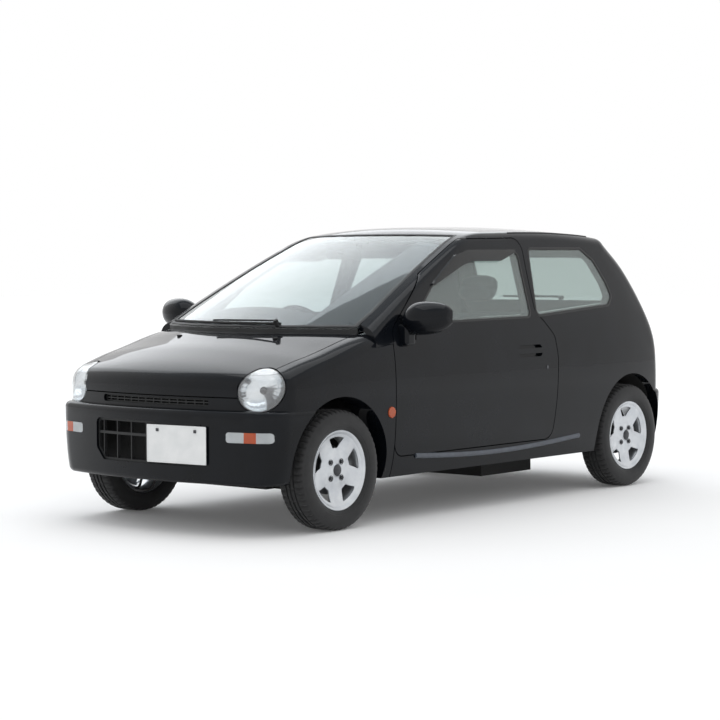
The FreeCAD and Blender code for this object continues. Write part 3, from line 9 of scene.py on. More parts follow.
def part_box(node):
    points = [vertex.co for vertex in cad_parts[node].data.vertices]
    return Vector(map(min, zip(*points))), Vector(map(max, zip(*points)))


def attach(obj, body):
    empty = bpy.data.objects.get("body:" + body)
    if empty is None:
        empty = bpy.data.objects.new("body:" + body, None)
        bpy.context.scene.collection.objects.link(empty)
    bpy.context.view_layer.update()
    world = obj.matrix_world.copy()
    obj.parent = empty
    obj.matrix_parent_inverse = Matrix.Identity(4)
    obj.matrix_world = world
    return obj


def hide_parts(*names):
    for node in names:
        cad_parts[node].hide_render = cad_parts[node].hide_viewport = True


# A three-door kei hatchback in black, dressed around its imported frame.
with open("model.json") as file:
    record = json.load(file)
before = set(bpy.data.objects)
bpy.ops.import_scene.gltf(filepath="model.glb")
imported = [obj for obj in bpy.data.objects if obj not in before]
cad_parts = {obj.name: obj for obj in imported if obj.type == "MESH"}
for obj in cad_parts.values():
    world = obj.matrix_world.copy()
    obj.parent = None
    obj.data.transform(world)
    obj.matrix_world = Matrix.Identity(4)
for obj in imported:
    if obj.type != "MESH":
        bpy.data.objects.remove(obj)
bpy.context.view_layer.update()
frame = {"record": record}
body_of_node = {node_name: body_name
                for body_name, node_names in frame["record"]["behaviour"]["bodies"].items()
                for node_name in node_names}
LEFT, AHEAD, UP = Vector((0, 1, 0)), Vector((1, 0, 0)), Vector((0, 0, 1))
SIDES = (("L", "left", 1), ("R", "right", -1))


# Nodes and finishes

def linear(code, alpha=1.0):
    """A colour written as sRGB hex, in the linear values that a shader wants."""
    channels = []
    for start in (1, 3, 5):
        value = int(code[start:start + 2], 16) / 255
        channels.append(value / 12.92 if value <= 0.04045 else ((value + 0.055) / 1.055) ** 2.4)
    return (*channels, alpha)


def node(tree, kind, settings=None, **links):
    """Adds one node: attributes, then values or output sockets by input name or n and number."""
    new = tree.nodes.new(kind)
    for key, value in (settings or {}).items():
        setattr(new, key, value)
    for key, value in links.items():
        place = int(key[1:]) if key[0] == "n" and key[1:].isdigit() else key.replace("_", " ")
        socket = new.inputs[place]
        if isinstance(value, bpy.types.NodeSocket):
            tree.links.new(value, socket)
        else:
            socket.default_value = linear(value) if isinstance(value, str) else value
    return new


def finish(name, **values):
    """A material of one Principled shader with its output, in an empty tree."""
    made = bpy.data.materials.new(name)
    made.use_nodes = True
    tree = made.node_tree
    tree.nodes.clear()
    shader = node(tree, "ShaderNodeBsdfPrincipled", None, **values)
    node(tree, "ShaderNodeOutputMaterial", None, Surface=shader.outputs[0])
    return made, tree, shader


NOISE, CELLS = "ShaderNodeTexNoise", "ShaderNodeTexVoronoi"
COLOURS = {"data_type": "RGBA"}


def mottle(tree, shader, low, high, patch_mm, gloss=None):
    """Patches of two close shades, and of gloss between two roughness values."""
    where = node(tree, "ShaderNodeTexCoord").outputs["Object"]
    patch = node(tree, NOISE, None, Vector=where, Scale=1000 / patch_mm, Detail=4.0)
    share = node(tree, "ShaderNodeMapRange", None, Value=patch.outputs[0], From_Min=0.32,
                 From_Max=0.7)
    colour = node(tree, "ShaderNodeMix", COLOURS, n0=share.outputs[0], n6=low, n7=high)
    tree.links.new(colour.outputs[2], shader.inputs["Base Color"])
    if gloss:
        rough = node(tree, "ShaderNodeMapRange", None, Value=patch.outputs[0], To_Min=gloss[0],
                     To_Max=gloss[1])
        tree.links.new(rough.outputs[0], shader.inputs["Roughness"])


def grain(tree, shader, kind, size_mm, depth_mm, strength=0.5, normal="Normal"):
    """A fine even relief over the whole surface."""
    where = node(tree, "ShaderNodeTexCoord").outputs["Object"]
    relief = node(tree, kind, None, Vector=where, Scale=1000 / size_mm)
    raised = node(tree, "ShaderNodeBump", None, Height=relief.outputs[0],
                  Distance=depth_mm / 1000, Strength=strength)
    tree.links.new(raised.outputs[0], shader.inputs[normal])


def surfaced(name, low, high, patch_mm, gloss, relief=None, **values):
    """A material with its mottle, and its grain where it has one."""
    made, tree, shader = finish(name, **values)
    mottle(tree, shader, low, high, patch_mm, gloss)
    if relief:
        grain(tree, shader, *relief)
    return made


def pane_glass(name, tint_and_veil, through):
    # The share that is not seen through takes the pane's colour as a veil; on the pale panes that
    # veil is a painted reflection
    return surfaced(name, tint_and_veil, tint_and_veil, 90, (0.0, 0.03), IOR=1.45, Transmission_Weight=through)


def moulding(name, low, high, rough, grain_mm=1.2):
    return surfaced(name, low, high, 70, (rough - 0.06, rough + 0.06),
                    (CELLS, grain_mm, 0.12, 0.45), IOR=1.49)


def coated_steel(name, low, high, rough, metal=0.0):
    return surfaced(name, low, high, 45, (rough - 0.08, rough + 0.12), (NOISE, 3, 0.05, 0.4),
                    Metallic=metal)


# The flutes' direction, and the scale of the cloth's waves (one in 24 mm)
FLUTE_TURN, WEAVE_SCALE = 0.96, 13.0


def lens(name, low, high, flute_mm, through, rough):
    """Acrylic fluted inside, so that light breaks up in upright bands 2 pi times flute_mm wide."""
    made, tree, shader = finish(name, IOR=1.49, Transmission_Weight=through)
    mottle(tree, shader, low, high, 60, (rough, rough + 0.04))
    where = node(tree, "ShaderNodeTexCoord").outputs["Object"]
    turned = node(tree, "ShaderNodeMapping", None, Vector=where, Rotation=(0, 0, FLUTE_TURN))
    wave = node(tree, "ShaderNodeTexWave", {"bands_direction": "X"}, Vector=turned.outputs[0],
                Scale=50 / flute_mm)
    flutes = node(tree, "ShaderNodeBump", None, Height=wave.outputs[1], Distance=0.0005,
                  Strength=0.45)
    tree.links.new(flutes.outputs[0], shader.inputs["Normal"])
    return made


def woven(name, low, high):
    """Woven polyester seat cloth: two close shades, a soft sheen, and its weave as relief."""
    made, tree, shader = finish(name, Roughness=0.92, Sheen_Weight=0.4, Sheen_Roughness=0.45)
    where = node(tree, "ShaderNodeTexCoord").outputs["Object"]
    across, along = [node(tree, "ShaderNodeTexWave", {"bands_direction": way}, Vector=where,
                          Scale=WEAVE_SCALE) for way in "YX"]
    weave = node(tree, "ShaderNodeMath", {"operation": "MULTIPLY"}, n0=across.outputs[1],
                 n1=along.outputs[1])
    colour = node(tree, "ShaderNodeMix", COLOURS, n0=weave.outputs[0], n6=low, n7=high)
    tree.links.new(colour.outputs[2], shader.inputs["Base Color"])
    threads = node(tree, "ShaderNodeBump", None, Height=weave.outputs[0], Distance=0.0006,
                   Strength=0.6)
    tree.links.new(threads.outputs[0], shader.inputs["Normal"])
    return made


# Materials, each with what it gives the eye

# Black enamel under clear lacquer: deep and mirror-like, with a faint orange peel
paint = surfaced("black_enamel_lacquered", "#080a0e", "#0d1015", 160, None,
                 (NOISE, 5, 0.012, 0.5, "Coat Normal"), Roughness=0.45, Coat_Weight=1.0,
                 Coat_Roughness=0.03, Coat_IOR=1.27, Specular_IOR_Level=0.02)
# Float glass faintly green in its body, with a pale veil of painted reflection over the share that
# is not seen through, and acrylic darkened through: smooth, a trace of dust
screen_glass = pane_glass("laminated_float_glass", "#d7e0e1", 0.97)
side_glass = pane_glass("tempered_float_glass", "#d3dfdc", 0.88)
smoked = pane_glass("smoked_acrylic", "#2c2e30", 0.8)
# Plastics and rubber from a grained tool: matt, with a fine leather-like grain
trim = moulding("polypropylene_grained", "#161718", "#202122", 0.6)
interior = moulding("polypropylene_interior", "#35373a", "#424447", 0.7, 1.8)
lining = moulding("moulded_headlining", "#8a8c8d", "#98999a", 0.9, 2.5)
seal_rubber = moulding("epdm_rubber_seal", "#101011", "#181819", 0.5, 0.8)
# Sheet or cast metal, bare or under a thin coat: dusty in patches and slightly uneven
under = coated_steel("steel_underseal", "#0f0f10", "#1a1a19", 0.7)
pipe_metal = coated_steel("aluminised_steel", "#6c6863", "#8a857d", 0.5, 0.9)
cast = coated_steel("cast_iron_and_alloy", "#5a5b5c", "#77787a", 0.55, 0.7)
# The sill moulding's blue-grey, far lighter than the black paint, is a painted highlight: it stands
# in for the sky's reflection along the sill
sill_painted_highlight = coated_steel("sill_coat_painted_highlight", "#454a52", "#565c65", 0.42)
dark_metal = coated_steel("zinc_plated_steel_dark", "#3b3c3e", "#55565a", 0.42, 0.8)
fin_metal = coated_steel("radiator_fin_aluminium", "#3a3b3c", "#4c4d4e", 0.5, 0.6)
# Vulcanised carbon-black rubber: matt charcoal with a dusty bloom
rubber = surfaced("vulcanised_rubber", "#141415", "#242425", 30, (0.7, 0.86), (NOISE, 1.5, 0.1),
                  IOR=1.52, Sheen_Weight=0.12, Sheen_Roughness=0.5)
# Cast aluminium under silver lacquer: bright fine flake, softly glossy
wheel_alloy = surfaced("cast_aluminium_lacquered", "#bfc3c8", "#d0d3d6", 40, (0.26, 0.38),
                       (CELLS, 0.9, 0.02, 0.3), Metallic=0.8, Coat_Weight=0.6,
                       Coat_Roughness=0.08)
# Aluminium vapour on a moulded bowl or glass: a near-perfect mirror
mirror_metal = surfaced("vacuum_aluminised_mirror", "#e9ecee", "#f2f4f5", 20, (0.12, 0.2),
                        Metallic=1.0)
# Stamped aluminium plate with baked white enamel: even, between matt and glossy
plate_white = surfaced("enamelled_plate_white", "#dfe1e1", "#e9eaea", 60, (0.35, 0.5),
                       Coat_Weight=0.3, Coat_Roughness=0.2)
# Lamp acrylic, clear or coloured through: bright, with upright flutes
clear_lens = lens("acrylic_lens_clear", "#f4f6f8", "#fbfcfc", 9.0, 0.93, 0.05)
amber_lens = lens("acrylic_lens_amber", "#c2512a", "#d2622f", 4.0, 0.3, 0.08)
pale_lens = lens("acrylic_lens_frosted", "#c6cbce", "#d4d9db", 5.0, 0.35, 0.12)
red_lens = lens("acrylic_lens_red", "#7c0f13", "#8f1418", 4.0, 0.3, 0.06)
# Cloth on the seats: grey, soft, with a visible weave
cloth = woven("woven_polyester_grey", "#3b3f46", "#555a62")


# Meshes and pieces

SEAM, WELD = 0.00004, 0.00002


def cad_mesh(name):
    """A CAD node's faces, merged where they meet."""
    mesh = bmesh.new()
    mesh.from_mesh(bpy.data.objects[name].data)
    bmesh.ops.remove_doubles(mesh, verts=mesh.verts, dist=SEAM)
    return mesh


def linked(name, mesh):
    """A bmesh turned to an object of the scene."""
    data = bpy.data.meshes.new(name)
    mesh.to_mesh(data)
    mesh.free()
    piece = bpy.data.objects.new(name, data)
    bpy.context.collection.objects.link(piece)
    return piece


def new_piece(name, mesh):
    """A new mesh as an object, its doubles merged and its faces pointing out."""
    bmesh.ops.remove_doubles(mesh, verts=mesh.verts, dist=WELD)
    bmesh.ops.recalc_face_normals(mesh, faces=mesh.faces)
    return linked(name, mesh)


def applied(piece):
    """Turns a piece's modifiers into plain mesh."""
    graph = bpy.context.evaluated_depsgraph_get()
    data = bpy.data.meshes.new_from_object(piece.evaluated_get(graph))
    piece.modifiers.clear()
    piece.data = data
    return piece


def walled(piece, thickness):
    """Gives a sheet its wall, on the inner side."""
    wall = piece.modifiers.new("wall", "SOLIDIFY")
    wall.thickness = thickness
    wall.offset = -1
    return piece


def smoothed(piece, levels):
    """Adds rounds of subdivision and turns all modifiers into mesh."""
    smooth = piece.modifiers.new("smooth", "SUBSURF")
    smooth.levels = smooth.render_levels = levels
    return applied(piece)


def shade(piece, angle=40):
    """Smooth shading, with edges sharper than the angle left crisp."""
    mesh = bmesh.new()
    mesh.from_mesh(piece.data)
    limit = math.radians(angle)
    for face in mesh.faces:
        face.smooth = True
    for edge in mesh.edges:
        edge.smooth = len(edge.link_faces) == 2 and edge.calc_face_angle(math.pi) < limit
    mesh.to_mesh(piece.data)
    mesh.free()
    return piece


def finish_piece(piece, body, slot, finish_used, *nodes):
    """Gives a piece its material and body, and hides the CAD nodes that it stands for."""
    piece.data.materials.clear()
    piece.data.materials.append(finish_used)
    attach(piece, body)
    if nodes:
        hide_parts(*nodes)
    return piece


def placed(name, mesh, body, finish_used, angle=40, slot=None, nodes=()):
    """A new mesh as a shaded and finished piece."""
    finish_piece(shade(new_piece(name, mesh), angle), body, slot, finish_used, *nodes)


def second_finish(piece, finish_used, chosen):
    """Gives the faces that the test picks a second finish of their own."""
    piece.data.materials.append(finish_used)
    place = len(piece.data.materials) - 1
    for face in piece.data.polygons:
        if chosen(face):
            face.material_index = place


def bridge(mesh, rings, closed=False, around=True):
    """Faces between each ring of points and the next; closed joins the last to the first too."""
    for first, second in list(zip(rings, rings[1:])) + ([(rings[-1], rings[0])] if closed else []):
        count = len(first)
        for k in range(count if around else count - 1):
            n = (k + 1) % count
            mesh.faces.new((first[k], first[n], second[n], second[k]))


def revolve(mesh, profile, centre, segments, hand=1, closed=False, shape=None):
    """Carries (radius, offset) points round an axle; shape may change a point's radius."""
    rings = []
    for radius, offset in profile:
        ring = []
        for k in range(segments):
            turn = 2 * math.pi * k / segments
            r = shape(radius, offset, k) if shape else radius
            ring.append(mesh.verts.new(
                centre + Vector((r * math.cos(turn), hand * offset, r * math.sin(turn)))))
        rings.append(ring)
    bridge(mesh, rings, closed)


def add_box(mesh, low, high):
    """A box between two corners, added to a mesh that is being built."""
    for vertex in bmesh.ops.create_cube(mesh, size=1)["verts"]:
        vertex.co = Vector([(low[i] + high[i]) / 2 + vertex.co[i] * (high[i] - low[i])
                            for i in range(3)])


def round_box(mesh, low, high, edge, matrix=None, segments=2):
    """A box with rounded edges, added to a mesh that is being built."""
    part = bmesh.new()
    add_box(part, low, high)
    bmesh.ops.bevel(part, geom=part.edges, offset=edge, segments=segments, profile=0.5,
                    affect="EDGES")
    if matrix:
        part.transform(matrix)
    carry = bpy.data.meshes.new("part")
    part.to_mesh(carry)
    part.free()
    mesh.from_mesh(carry)
    bpy.data.meshes.remove(carry)


def plain_piece(name, boxes, finish_used, body="chassis", edge=0.006, matrix=None):
    """Rounded boxes that make one moulded piece."""
    mesh = bmesh.new()
    for low, high in boxes:
        round_box(mesh, Vector(low), Vector(high), edge, matrix)
    placed(name, mesh, body, finish_used)


# Panels: the frame's own faces, merged so that the light runs smoothly over them

def dressed(name, slot, finish_used, inner=None, inward=None):
    """One CAD node shown by its smooth copy, with a lining on the faces that look inward."""
    piece = shade(linked(name + "_skin", cad_mesh(name)), 28)
    finish_piece(piece, body_of_node[name], slot, finish_used, name)
    if inner:
        second_finish(piece, inner, lambda face: face.normal.dot(inward) > 0.6)


def repaint(names, finish_used):
    """A CAD node that stays as it is gets its real material."""
    for name in names:
        piece = bpy.data.objects[name]
        piece.data.materials.clear()
        piece.data.materials.append(finish_used)


for name in ("fender_left", "fender_right", "front_bumper", "rear_bumper", "mirror_left",
             "mirror_right"):
    dressed(name, "paint", paint)
for name, inward in (("side_left", -LEFT), ("side_right", LEFT), ("door_left", -LEFT),
                     ("door_right", LEFT), ("tailgate", AHEAD)):
    dressed(name, "paint", paint, interior, inward)
dressed("roof_panel", "paint", paint, lining, -UP)
dressed("bonnet", "paint", paint, under, -UP)
dressed("windscreen", "window_glass", screen_glass)
for name in ("quarter_glass", "tailgate_glass", "door_glass_left", "door_glass_right"):
    dressed(name, "window_glass", side_glass)
repaint(["floor_pan", "bulkhead", "front_suspension", "rear_axle", "fuel_tank", "knuckle_left",
         "knuckle_right"], under)
repaint(["cowl", "wipers", "rear_wiper", "grilles", "steering_wheel"], trim)
repaint(["dashboard"], interior)
repaint(["engine_block"], cast)
repaint(["exhaust"], pipe_metal)


# Wheels: tyres with ribs and blocks, five-spoke rims, discs and nuts

# Half of a tyre's section, from bead to middle: radius and distance from the middle, in mm
TYRE_PROFILE = [(168, 49), (174, 56.5), (180, 62), (186, 67.5), (191, 70.5), (196, 71.4),
                (197.5, 73), (206, 74.6), (217, 75), (228, 74.2), (238, 72.3), (240, 71.4),
                (247, 69), (253, 66.5), (258.5, 63), (262.6, 57.5), (264.6, 49), (265.5, 38),
                (265.6, 27), (258.8, 26), (258.8, 19.5), (265.8, 18.5), (266, 6), (259, 5.2)]
PITCHES, PITCH_PARTS = 56, 4
# Shoulder blocks and middle rib: distances from the middle, and the radii where they start
SHOULDER_FROM, SHOULDER_TO, RIB_TO = 0.0275, 0.066, 0.0188
SHOULDER_ABOVE, RIB_ABOVE, GROOVE = 0.2575, 0.2605, 0.006
WHEEL_FACE_Y, WHEEL_CENTRE_Z = 0.606, 0.266


def box_centre(name):
    low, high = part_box(name)
    return (Vector(low) + Vector(high)) / 2


def make_tyre_piece(name):
    half = [(r / 1000, y / 1000) for r, y in TYRE_PROFILE]

    def blocks(radius, offset, k):
        """Cross grooves: one segment in four is cut down between shoulder and rib."""
        outer = SHOULDER_FROM < abs(offset) < SHOULDER_TO and radius > SHOULDER_ABOVE
        inner = abs(offset) < RIB_TO and radius > RIB_ABOVE
        if outer and (k + (2 if offset < 0 else 0)) % PITCH_PARTS == 0:
            return radius - GROOVE
        if inner and (k + 1) % (2 * PITCH_PARTS) == 0:
            return radius - GROOVE * 0.6
        return radius

    mesh = bmesh.new()
    revolve(mesh, half + [(r, -y) for r, y in reversed(half)], box_centre(name),
            PITCHES * PITCH_PARTS, shape=blocks)
    placed(name.replace("tyre", "tyre_ribbed"), mesh, body_of_node[name], rubber, 30,
           "tyre_rubber", [name])


SPOKES = 5
HALF_SECTOR = 180 / SPOKES
# The rim's face from hub to edge: radius and distance from the wheel's middle, in mm
RIM_ROWS = [(0.0, 51.5), (10, 51.2), (20, 50), (27, 47.5), (28.5, 43), (34, 41.5), (44, 41),
            (56, 41), (66, 40.5), (78, 40), (88, 40.2), (94, 40.5), (98, 41), (110, 42.6),
            (124, 44.8), (138, 47.6), (146, 49.6), (150, 50.6), (156, 52.4), (160, 52.8),
            (163, 55.5), (169, 60.5), (175, 63.2), (178, 62)]
WINDOW_START, WINDOW_END = 97, 147
# Half a window's angle at its inner end, and what it gains outward, in degrees
WINDOW_HALF, WINDOW_GAIN = 9, 11
# A spoke's edges fall away by this between two radii, in mm
SPOKE_FALL, SPOKE_START, SPOKE_LENGTH = 5.5, 58, 100
# The barrel's closed section: radius and distance, in metres
BARREL = [(0.1775, 0.0615), (0.1735, 0.0585), (0.166, 0.0535), (0.157, 0.047), (0.15, 0.036),
          (0.1475, 0.02), (0.1475, -0.03), (0.158, -0.048), (0.166, -0.054), (0.172, -0.059),
          (0.1775, -0.063), (0.178, -0.058), (0.17, -0.0515), (0.1605, -0.045), (0.151, -0.028),
          (0.151, 0.021), (0.155, 0.036), (0.1605, 0.045), (0.17, 0.0515), (0.178, 0.056)]
DISC = [(0.03, 0.012), (0.06, 0.012), (0.064, 0.008), (0.066, -0.004), (0.109, -0.004),
        (0.11, -0.006), (0.11, -0.016), (0.109, -0.018), (0.06, -0.018)]
DRUM = [(0.03, 0.012), (0.08, 0.012), (0.09, 0.008), (0.095, 0.0), (0.095, -0.014),
        (0.099, -0.016), (0.099, -0.028), (0.06, -0.028)]
CAP = [(0.0002, 0.0545), (0.012, 0.0542), (0.02, 0.0528), (0.0245, 0.0505), (0.0262, 0.0465),
       (0.0262, 0.043)]
NUT_SEAT = [(0.0135, 0.0428), (0.0115, 0.0421), (0.0111, 0.0419)]
NUT = [(0.0098, 0.0415), (0.0098, 0.0465), (0.0082, 0.0485), (0.0002, 0.0485)]
NUT_CIRCLE = 0.05


def window_half(radius):
    """Half the angle of a window at a radius, in degrees."""
    share = (radius - WINDOW_START) / (WINDOW_END - WINDOW_START)
    return WINDOW_HALF + WINDOW_GAIN * min(max(share, -0.3), 1.15)


def rim_ring(mesh, base, hand, radius, offset):
    """One ring of the rim's face, with its points gathered at the windows' edges."""
    half = window_half(radius)
    beyond = HALF_SECTOR - half
    angles = [-HALF_SECTOR] + [-half - beyond * q for q in (0.66, 0.34, 0.1)]
    angles += [-half, -half * 0.5, 0, half * 0.5, half]
    angles += [half + beyond * q for q in (0.1, 0.34, 0.66)]
    in_spoke = math.sin(math.pi * min(max((radius - SPOKE_START) / SPOKE_LENGTH, 0), 1))
    ring = []
    for sector in range(SPOKES):
        for angle in angles:
            beside = max(0, abs(angle) - half) / beyond
            y = (offset + SPOKE_FALL * in_spoke * (beside ** 0.7 - 1)) / 1000 * hand
            turn = math.radians(angle + 2 * HALF_SECTOR * sector + 90)
            r = radius / 1000
            ring.append(mesh.verts.new(base + Vector((r * math.cos(turn), y,
                                                      r * math.sin(turn)))))
    return ring


def make_rim_piece(name):
    centre = box_centre(name)
    hand = 1 if centre.y > 0 else -1
    base = Vector((centre.x, hand * WHEEL_FACE_Y, WHEEL_CENTRE_Z))
    mesh = bmesh.new()
    grid = [rim_ring(mesh, base, hand, radius, offset) for radius, offset in RIM_ROWS]
    count = len(grid[0])
    for row in range(len(grid) - 1):
        windowed = RIM_ROWS[row][0] > WINDOW_START and RIM_ROWS[row + 1][0] < WINDOW_END
        for k in range(count):
            if windowed and 4 <= k % (count // SPOKES) <= 7:
                continue
            n = (k + 1) % count
            mesh.faces.new((grid[row][k], grid[row][n], grid[row + 1][n], grid[row + 1][k]))
    bmesh.ops.remove_doubles(mesh, verts=mesh.verts, dist=WELD)
    bmesh.ops.dissolve_degenerate(mesh, edges=mesh.edges, dist=WELD)
    bmesh.ops.recalc_face_normals(mesh, faces=mesh.faces)
    if sum(face.normal.y * face.calc_area() for face in mesh.faces) * hand < 0:
        bmesh.ops.reverse_faces(mesh, faces=mesh.faces)
    piece = smoothed(walled(linked(name.replace("rim", "rim_cast"), mesh), 0.009), 2)
    barrel = bmesh.new()
    barrel.from_mesh(piece.data)
    revolve(barrel, BARREL, base, 72, hand, True)
    barrel.to_mesh(piece.data)
    barrel.free()
    wheel = body_of_node[name]
    finish_piece(shade(piece), wheel, "alloy", wheel_alloy, name)
    cap = bmesh.new()
    revolve(cap, CAP, base, 40, hand)
    for k in range(4):
        turn = math.radians(45 + 90 * k)
        place = base + Vector((NUT_CIRCLE * math.cos(turn), 0, NUT_CIRCLE * math.sin(turn)))
        revolve(cap, NUT_SEAT, place, 24, hand)
        revolve(cap, NUT, place, 6, hand)
    placed(name.replace("rim", "hub_cap"), cap, wheel, dark_metal, 35)
    brake = bmesh.new()
    revolve(brake, DISC if "_f" in name else DRUM, base, 64, hand)
    placed(name.replace("rim", "brake"), brake, wheel, cast, 35)


for corner in ("fl", "fr", "rl", "rr"):
    make_tyre_piece("tyre_" + corner)
    make_rim_piece("rim_" + corner)


# Lamps: lens cut from the frame's own face, with a reflector bowl and a bulb behind it

def outer_patch(name, side, direction, least=0.5):
    """The faces of one side's solid that look along a direction, as a merged bmesh."""
    mesh = cad_mesh(name)
    gone = [face for face in mesh.faces if face.normal.dot(direction) < least
            or (side and face.calc_center_median().y * side <= 0)]
    bmesh.ops.delete(mesh, geom=gone, context="FACES")
    return mesh


def border_loop(mesh):
    """The longest closed border of an open mesh, in order, with the faces on its left."""
    edges = {edge: None for edge in mesh.edges if len(edge.link_faces) == 1}
    loops = []
    while edges:
        edge = next(iter(edges))
        edges.pop(edge)
        corner = edge.link_loops[0]
        loop = [corner.vert, corner.link_loop_next.vert]
        while True:
            onward = [e for e in loop[-1].link_edges if e in edges]
            if not onward:
                break
            edges.pop(onward[0])
            loop.append(onward[0].other_vert(loop[-1]))
        loops.append(loop)
    places = [[vertex.co.copy() for vertex in loop] for loop in loops]
    best = max(places, key=lambda p: sum((a - b).length for a, b in zip(p, p[1:])))
    return best[:-1] if (best[0] - best[-1]).length < 0.0005 else best


def evenly(points, count):
    """The same closed line, with its points evenly spaced."""
    closed = points + points[:1]
    lengths = [0.0]
    for a, b in zip(closed, closed[1:]):
        lengths.append(lengths[-1] + (b - a).length)
    found = []
    place = 0
    for k in range(count):
        target = lengths[-1] * k / count
        while lengths[place + 1] < target:
            place += 1
        span = lengths[place + 1] - lengths[place]
        share = (target - lengths[place]) / span if span else 0
        found.append(closed[place].lerp(closed[place + 1], share))
    return found


LAMP_AXIS_TURN = math.radians(35)
LAMP_CENTRE = (1.5014, 0.5646, 0.6314)
LAMP_DEPTH, LAMP_WALL = 0.062, 0.006
BOWL_STEPS, RIM_POINTS, BULB_SIDES = 14, 72, 24
# The bulb from its base to its tip: radius and distance along the lamp
BULB = [(0.017, 0.0), (0.016, 0.006), (0.0095, 0.008), (0.0085, 0.034), (0.0105, 0.036),
        (0.011, 0.046), (0.0085, 0.051), (0.0002, 0.053)]


def make_bowl(mesh, rim, centre, axis, wall, sink, deep):
    """A bowl behind the lens's rim, drawn in by a cosine, with three faint lobes."""
    rings = []
    for step in range(BOWL_STEPS + 1):
        share = step / BOWL_STEPS
        ring = []
        for k, place in enumerate(rim):
            height = (place - centre).dot(axis)
            flat = place - axis * height
            petal = 1 + 0.008 * math.cos(k * math.pi * 2 / 3) * math.sin(share * math.pi)
            spread = wall * math.cos(share * math.pi / 2 * 0.93) * petal
            lift = (height - sink) * (1 - share) ** 2 - deep * math.sin(share * math.pi / 2)
            ring.append(mesh.verts.new(centre + (flat - centre) * spread + axis * lift))
        rings.append(ring)
    bridge(mesh, rings)
    mesh.faces.new(rings[-1])


def make_headlamps():
    lenses, bowls, bulbs, housings = bmesh.new(), bmesh.new(), bmesh.new(), bmesh.new()
    for _, _, side in SIDES:
        axis = Vector((math.cos(LAMP_AXIS_TURN), side * math.sin(LAMP_AXIS_TURN), 0))
        centre = Vector((LAMP_CENTRE[0], side * LAMP_CENTRE[1], LAMP_CENTRE[2]))
        patch = outer_patch("headlamps", side, axis, 0.1)
        rim = evenly(border_loop(patch), RIM_POINTS)
        carry = bpy.data.meshes.new("carry")
        patch.to_mesh(carry)
        patch.free()
        lenses.from_mesh(carry)
        centre += axis * (sum(rim, Vector()) / len(rim) - centre).dot(axis)
        make_bowl(bowls, rim, centre, axis, 0.955, 0.006, LAMP_DEPTH)
        make_bowl(housings, rim, centre, axis, 0.975, 0.01, LAMP_DEPTH + LAMP_WALL)
        start = centre - axis * LAMP_DEPTH * 0.95 - Vector((0, 0, 0.004))
        turn = UP.cross(axis).normalized()
        above = axis.cross(turn)
        bridge(bulbs, [[bulbs.verts.new(start + axis * along
                                        + (turn * math.cos(a) + above * math.sin(a)) * radius)
                        for a in [2 * math.pi * k / BULB_SIDES for k in range(BULB_SIDES)]]
                       for radius, along in BULB])
    cover = shade(applied(walled(new_piece("headlamp_lenses", lenses), 0.003)))
    finish_piece(cover, "chassis", "lamp_clear", clear_lens, "headlamps")
    placed("headlamp_reflectors", bowls, "chassis", mirror_metal, 60)
    placed("headlamp_housings", housings, "chassis", trim, 60)
    placed("headlamp_bulbs", bulbs, "chassis", dark_metal)


make_headlamps()


# Rubber round the side panes

def on_the_line(place):
    """A strip that is centred on its line everywhere."""
    return 0.0


# Across the strip in shares of its width, and up in shares of its height
STRIP_SECTION = [(-0.5, -0.2), (-0.5, 0.55), (-0.3, 1.0), (0.3, 1.0), (0.5, 0.55), (0.5, -0.2)]
SEAL_HEIGHT, SEAL_POINTS = 0.004, 220


def strip(points, outward, width, mesh, shift):
    """A flat-topped strip along a closed line, lying on the surface that looks outward."""
    rings = []
    for k, place in enumerate(points):
        ahead = (points[(k + 1) % len(points)] - points[k - 1]).normalized()
        aside = ahead.cross(outward(place)).normalized()
        above = aside.cross(ahead).normalized()
        rings.append([mesh.verts.new(place + aside * (a * width + shift(place))
                                     + above * b * SEAL_HEIGHT) for a, b in STRIP_SECTION])
    bridge(mesh, rings, closed=True)


def make_seal(name, pane, body, directions, width, shift=on_the_line):
    """The rubber round a pane, along the border of its outer face."""
    mesh = bmesh.new()
    for side, direction in directions:
        patch = outer_patch(pane, side, direction)
        line = evenly(border_loop(patch), SEAL_POINTS)
        facings = [(f.calc_center_median().copy(), f.normal.copy()) for f in patch.faces]
        patch.free()

        def outward(place):
            return min(facings, key=lambda item: (item[0] - place).length_squared)[1]

        strip(line, outward, width, mesh, shift)
    placed(name, mesh, body, seal_rubber)


for _, hand, side in SIDES:
    pane = "door_glass_" + hand
    make_seal("door_seal_" + hand, pane, body_of_node[pane], [(side, LEFT * side)], 0.014)
make_seal("quarter_seals", "quarter_glass", "chassis", [(1, LEFT), (-1, -LEFT)], 0.016)


# Seats: pads filled as cloth under pressure, then sewn with channels

def pad_mesh(length, width, height, crown, bolster, square=3.2, cuts=16):
    """A crowned closed form whose corners are drawn in; local axes x along, y across, z up."""
    mesh = bmesh.new()
    bmesh.ops.create_cube(mesh, size=2)
    bmesh.ops.subdivide_edges(mesh, edges=mesh.edges, cuts=cuts, use_grid_fill=True)
    for vertex in mesh.verts:
        u, v, w = vertex.co
        norm = (abs(u) ** square + abs(v) ** square + abs(w) ** square) ** (1 / square)
        u, v, w = u / norm, v / norm, w / norm
        rise = side = 0
        if w > 0:
            rise = crown * (1 - u * u) * (1 - v * v)
            side = bolster * max(0, (abs(v) - 0.55) / 0.45) ** 2 * (1 - abs(v) ** 6) * 2
        vertex.co = (u * length / 2, v * width / 2, w * height / 2 + (rise + side) * height)
    return mesh


VOXEL, FILL_FRAMES, PRESSURE = 0.011, 20, 4.0


